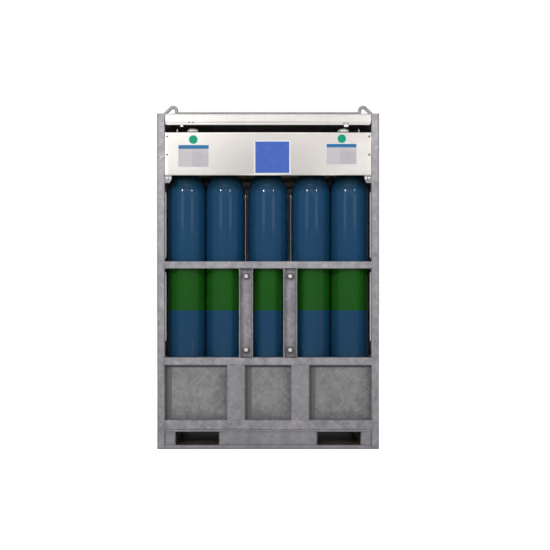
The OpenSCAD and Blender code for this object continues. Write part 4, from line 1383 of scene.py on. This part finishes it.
class StageOperator(bpy.types.Operator):
    """White floor and surround, lamps at the front, above and behind, and the camera"""

    bl_idname = "bundle.stage"
    bl_label = "Stage"

    def lamp(self, name, place, aim, wide, tall, power):
        """One area lamp that points from a place to another."""
        light = bpy.data.lights.new(name, "AREA")
        light.shape = "RECTANGLE"
        light.size = wide
        light.size_y = tall
        light.energy = power
        obj = bpy.data.objects.new(name, light)
        obj.location = place
        x, y, z = np.array(aim) - np.array(place)
        pitch = math.atan2(z, math.hypot(x, y)) + math.pi / 2
        obj.rotation_euler = (pitch, 0.0, math.atan2(y, x) - math.pi / 2)
        obj.visible_glossy = name not in UNMIRRORED
        bpy.context.scene.collection.objects.link(obj)

    def backdrop_rays(self, tree):
        """1 for rays from the camera and for what metal and glass mirror, else 0."""
        rays = tree.nodes.new("ShaderNodeLightPath").outputs
        shiny = Value(rays["Is Glossy Ray"]).most(rays["Is Transmission Ray"])
        return Value(rays["Is Camera Ray"]).most(shiny)

    def world(self, ambient):
        """White where it is seen or mirrored, and a weaker even light elsewhere."""
        world = bpy.data.worlds.new("studio")
        bpy.context.scene.world = world
        world.use_nodes = True
        tree = world.node_tree
        tree.nodes.clear()
        white = (1.0, 1.0, 1.0, 1.0)
        inputs = {0: self.backdrop_rays(tree)}
        for key, strength in ((1, ambient), (2, 1.0)):
            light = add(tree, "ShaderNodeBackground", {"Color": white, "Strength": strength})
            inputs[key] = light.outputs[0]
        both = add(tree, "ShaderNodeMixShader", inputs)
        add(tree, "ShaderNodeOutputWorld", {"Surface": both.outputs[0]})

    def floor(self):
        """A wide grid whose pale paint is lifted towards white where it is seen, so that the shadow stays."""
        side = np.linspace(-FLOOR_HALF, FLOOR_HALF, FLOOR_LINES)
        grid = np.stack(np.broadcast_arrays(side[:, None], side[None, :], 0.0), -1)
        mesh = bpy.data.meshes.new("floor")
        mesh.from_pydata(grid.reshape(-1, 3).tolist(), [], grid_faces(FLOOR_LINES, FLOOR_LINES))
        material = bpy.data.materials.new("floor_paint")
        material.use_nodes = True
        tree = material.node_tree
        shader = tree.nodes["Principled BSDF"].inputs
        shader["Roughness"].default_value = 0.8
        shader["Emission Color"].default_value = (1.0, 1.0, 1.0, 1.0)
        place = Value(tree.nodes.new("ShaderNodeTexCoord").outputs["Object"])
        shade = mixed(noise(place, 3.0), tone(232, 232, 232), tone(238, 238, 238))
        away = Value(add(tree, "ShaderNodeVectorMath", {0: place}, operation="LENGTH").outputs["Value"])
        lift = self.backdrop_rays(tree) * ranged(away, 1.2, 3.2, 0.8, 1.0)
        tree.links.new(shade.socket, shader["Base Color"])
        tree.links.new(lift.socket, shader["Emission Strength"])
        mesh.materials.append(material)
        obj = bpy.data.objects.new("floor", mesh)
        bpy.context.scene.collection.objects.link(obj)

    def execute(self, context):
        stage = context.scene.bundle_stage
        self.world(stage.ambient)
        self.floor()
        front = cad_low[Y]
        aim = (0.0, front, 1.15)
        self.lamp("key_lamp", (-3.6, -7.5, 3.75), aim, 0.6, 0.6, stage.key)
        self.lamp("fill_lamp", (4.3, -7.1, 3.75), aim, 0.6, 0.6, stage.fill)
        self.lamp("front_lamp", (0.0, -6.0, 1.3), aim, 0.4, 0.4, stage.front)
        self.lamp("top_lamp", (-0.2, -2.6, 3.6), aim, 1.6, 1.6, stage.top)
        for name, (x, z, wide, tall, share) in SCREENS.items():
            power = stage.screen * share * wide * tall
            self.lamp("screen_" + name, (x, -6.4, z), (x, 0.0, z), wide, tall, power)
        self.lamp("tube_lamp", (0.35, -7.4, 3.75), aim, 8.6, 0.3, stage.tube)
        level = 1.86
        for name, x, y in (("left", -2.27, -4.85), ("right", 2.72, -4.58)):
            self.lamp("strip_" + name, (x, y, level), (0.0, front, level), 1.5, 0.5, stage.strip)
        for name, x in (("left", -4.2), ("right", 4.2)):
            self.lamp("back_" + name, (x, 3.4, 1.3), (0.0, 0.2, 1.1), 1.2, 1.2, stage.back)
        data = bpy.data.cameras.new("camera")
        data.lens = stage.lens
        data.sensor_width = 36.0
        data.shift_x = stage.shift_x
        data.shift_y = stage.shift_z
        camera = bpy.data.objects.new("camera", data)
        camera.location = (0.0, front - stage.distance, stage.height)
        camera.rotation_euler = (math.pi / 2, 0.0, 0.0)
        bpy.context.scene.collection.objects.link(camera)
        bpy.context.scene.camera = camera
        bpy.context.scene.view_settings.view_transform = "Standard"
        return {"FINISHED"}


OPERATORS = (
    FinishesOperator,
    PostsOperator,
    RailsOperator,
    BaseOperator,
    PanelsOperator,
    ClampsOperator,
    EyesOperator,
    RoofOperator,
    CoversOperator,
    PlatesOperator,
    CylindersOperator,
    HandwheelsOperator,
    FastenersOperator,
    WeldsOperator,
    StageOperator,
)
SETTINGS = {
    "bundle_frame": FrameSettings,
    "bundle_covers": CoverSettings,
    "bundle_cylinders": CylinderSettings,
    "bundle_stage": StageSettings,
}


class BundlePanel(bpy.types.Panel):
    """Settings and build steps of the bundle"""

    bl_idname = "VIEW3D_PT_bundle"
    bl_label = "Gas cylinder bundle"
    bl_space_type = "VIEW_3D"
    bl_region_type = "UI"
    bl_category = "Bundle"

    def draw(self, context):
        for name, group in SETTINGS.items():
            column = self.layout.column(heading=name)
            for key in group.__annotations__:
                column.prop(getattr(context.scene, name), key)
        for operator in OPERATORS:
            self.layout.operator(operator.bl_idname)


def register():
    for group in SETTINGS.values():
        bpy.utils.register_class(group)
    for name, group in SETTINGS.items():
        setattr(bpy.types.Scene, name, bpy.props.PointerProperty(type=group))
    for cls in (*OPERATORS, BundlePanel):
        bpy.utils.register_class(cls)


def unregister():
    for cls in (*OPERATORS, BundlePanel):
        bpy.utils.unregister_class(cls)
    for name, group in SETTINGS.items():
        delattr(bpy.types.Scene, name)
        bpy.utils.unregister_class(group)


def main():
    """Builds everything in order."""
    register()
    for operator in OPERATORS:
        step = operator.bl_idname.split(".")[1]
        getattr(bpy.ops.bundle, step)()


if __name__ == "__main__":
    main()
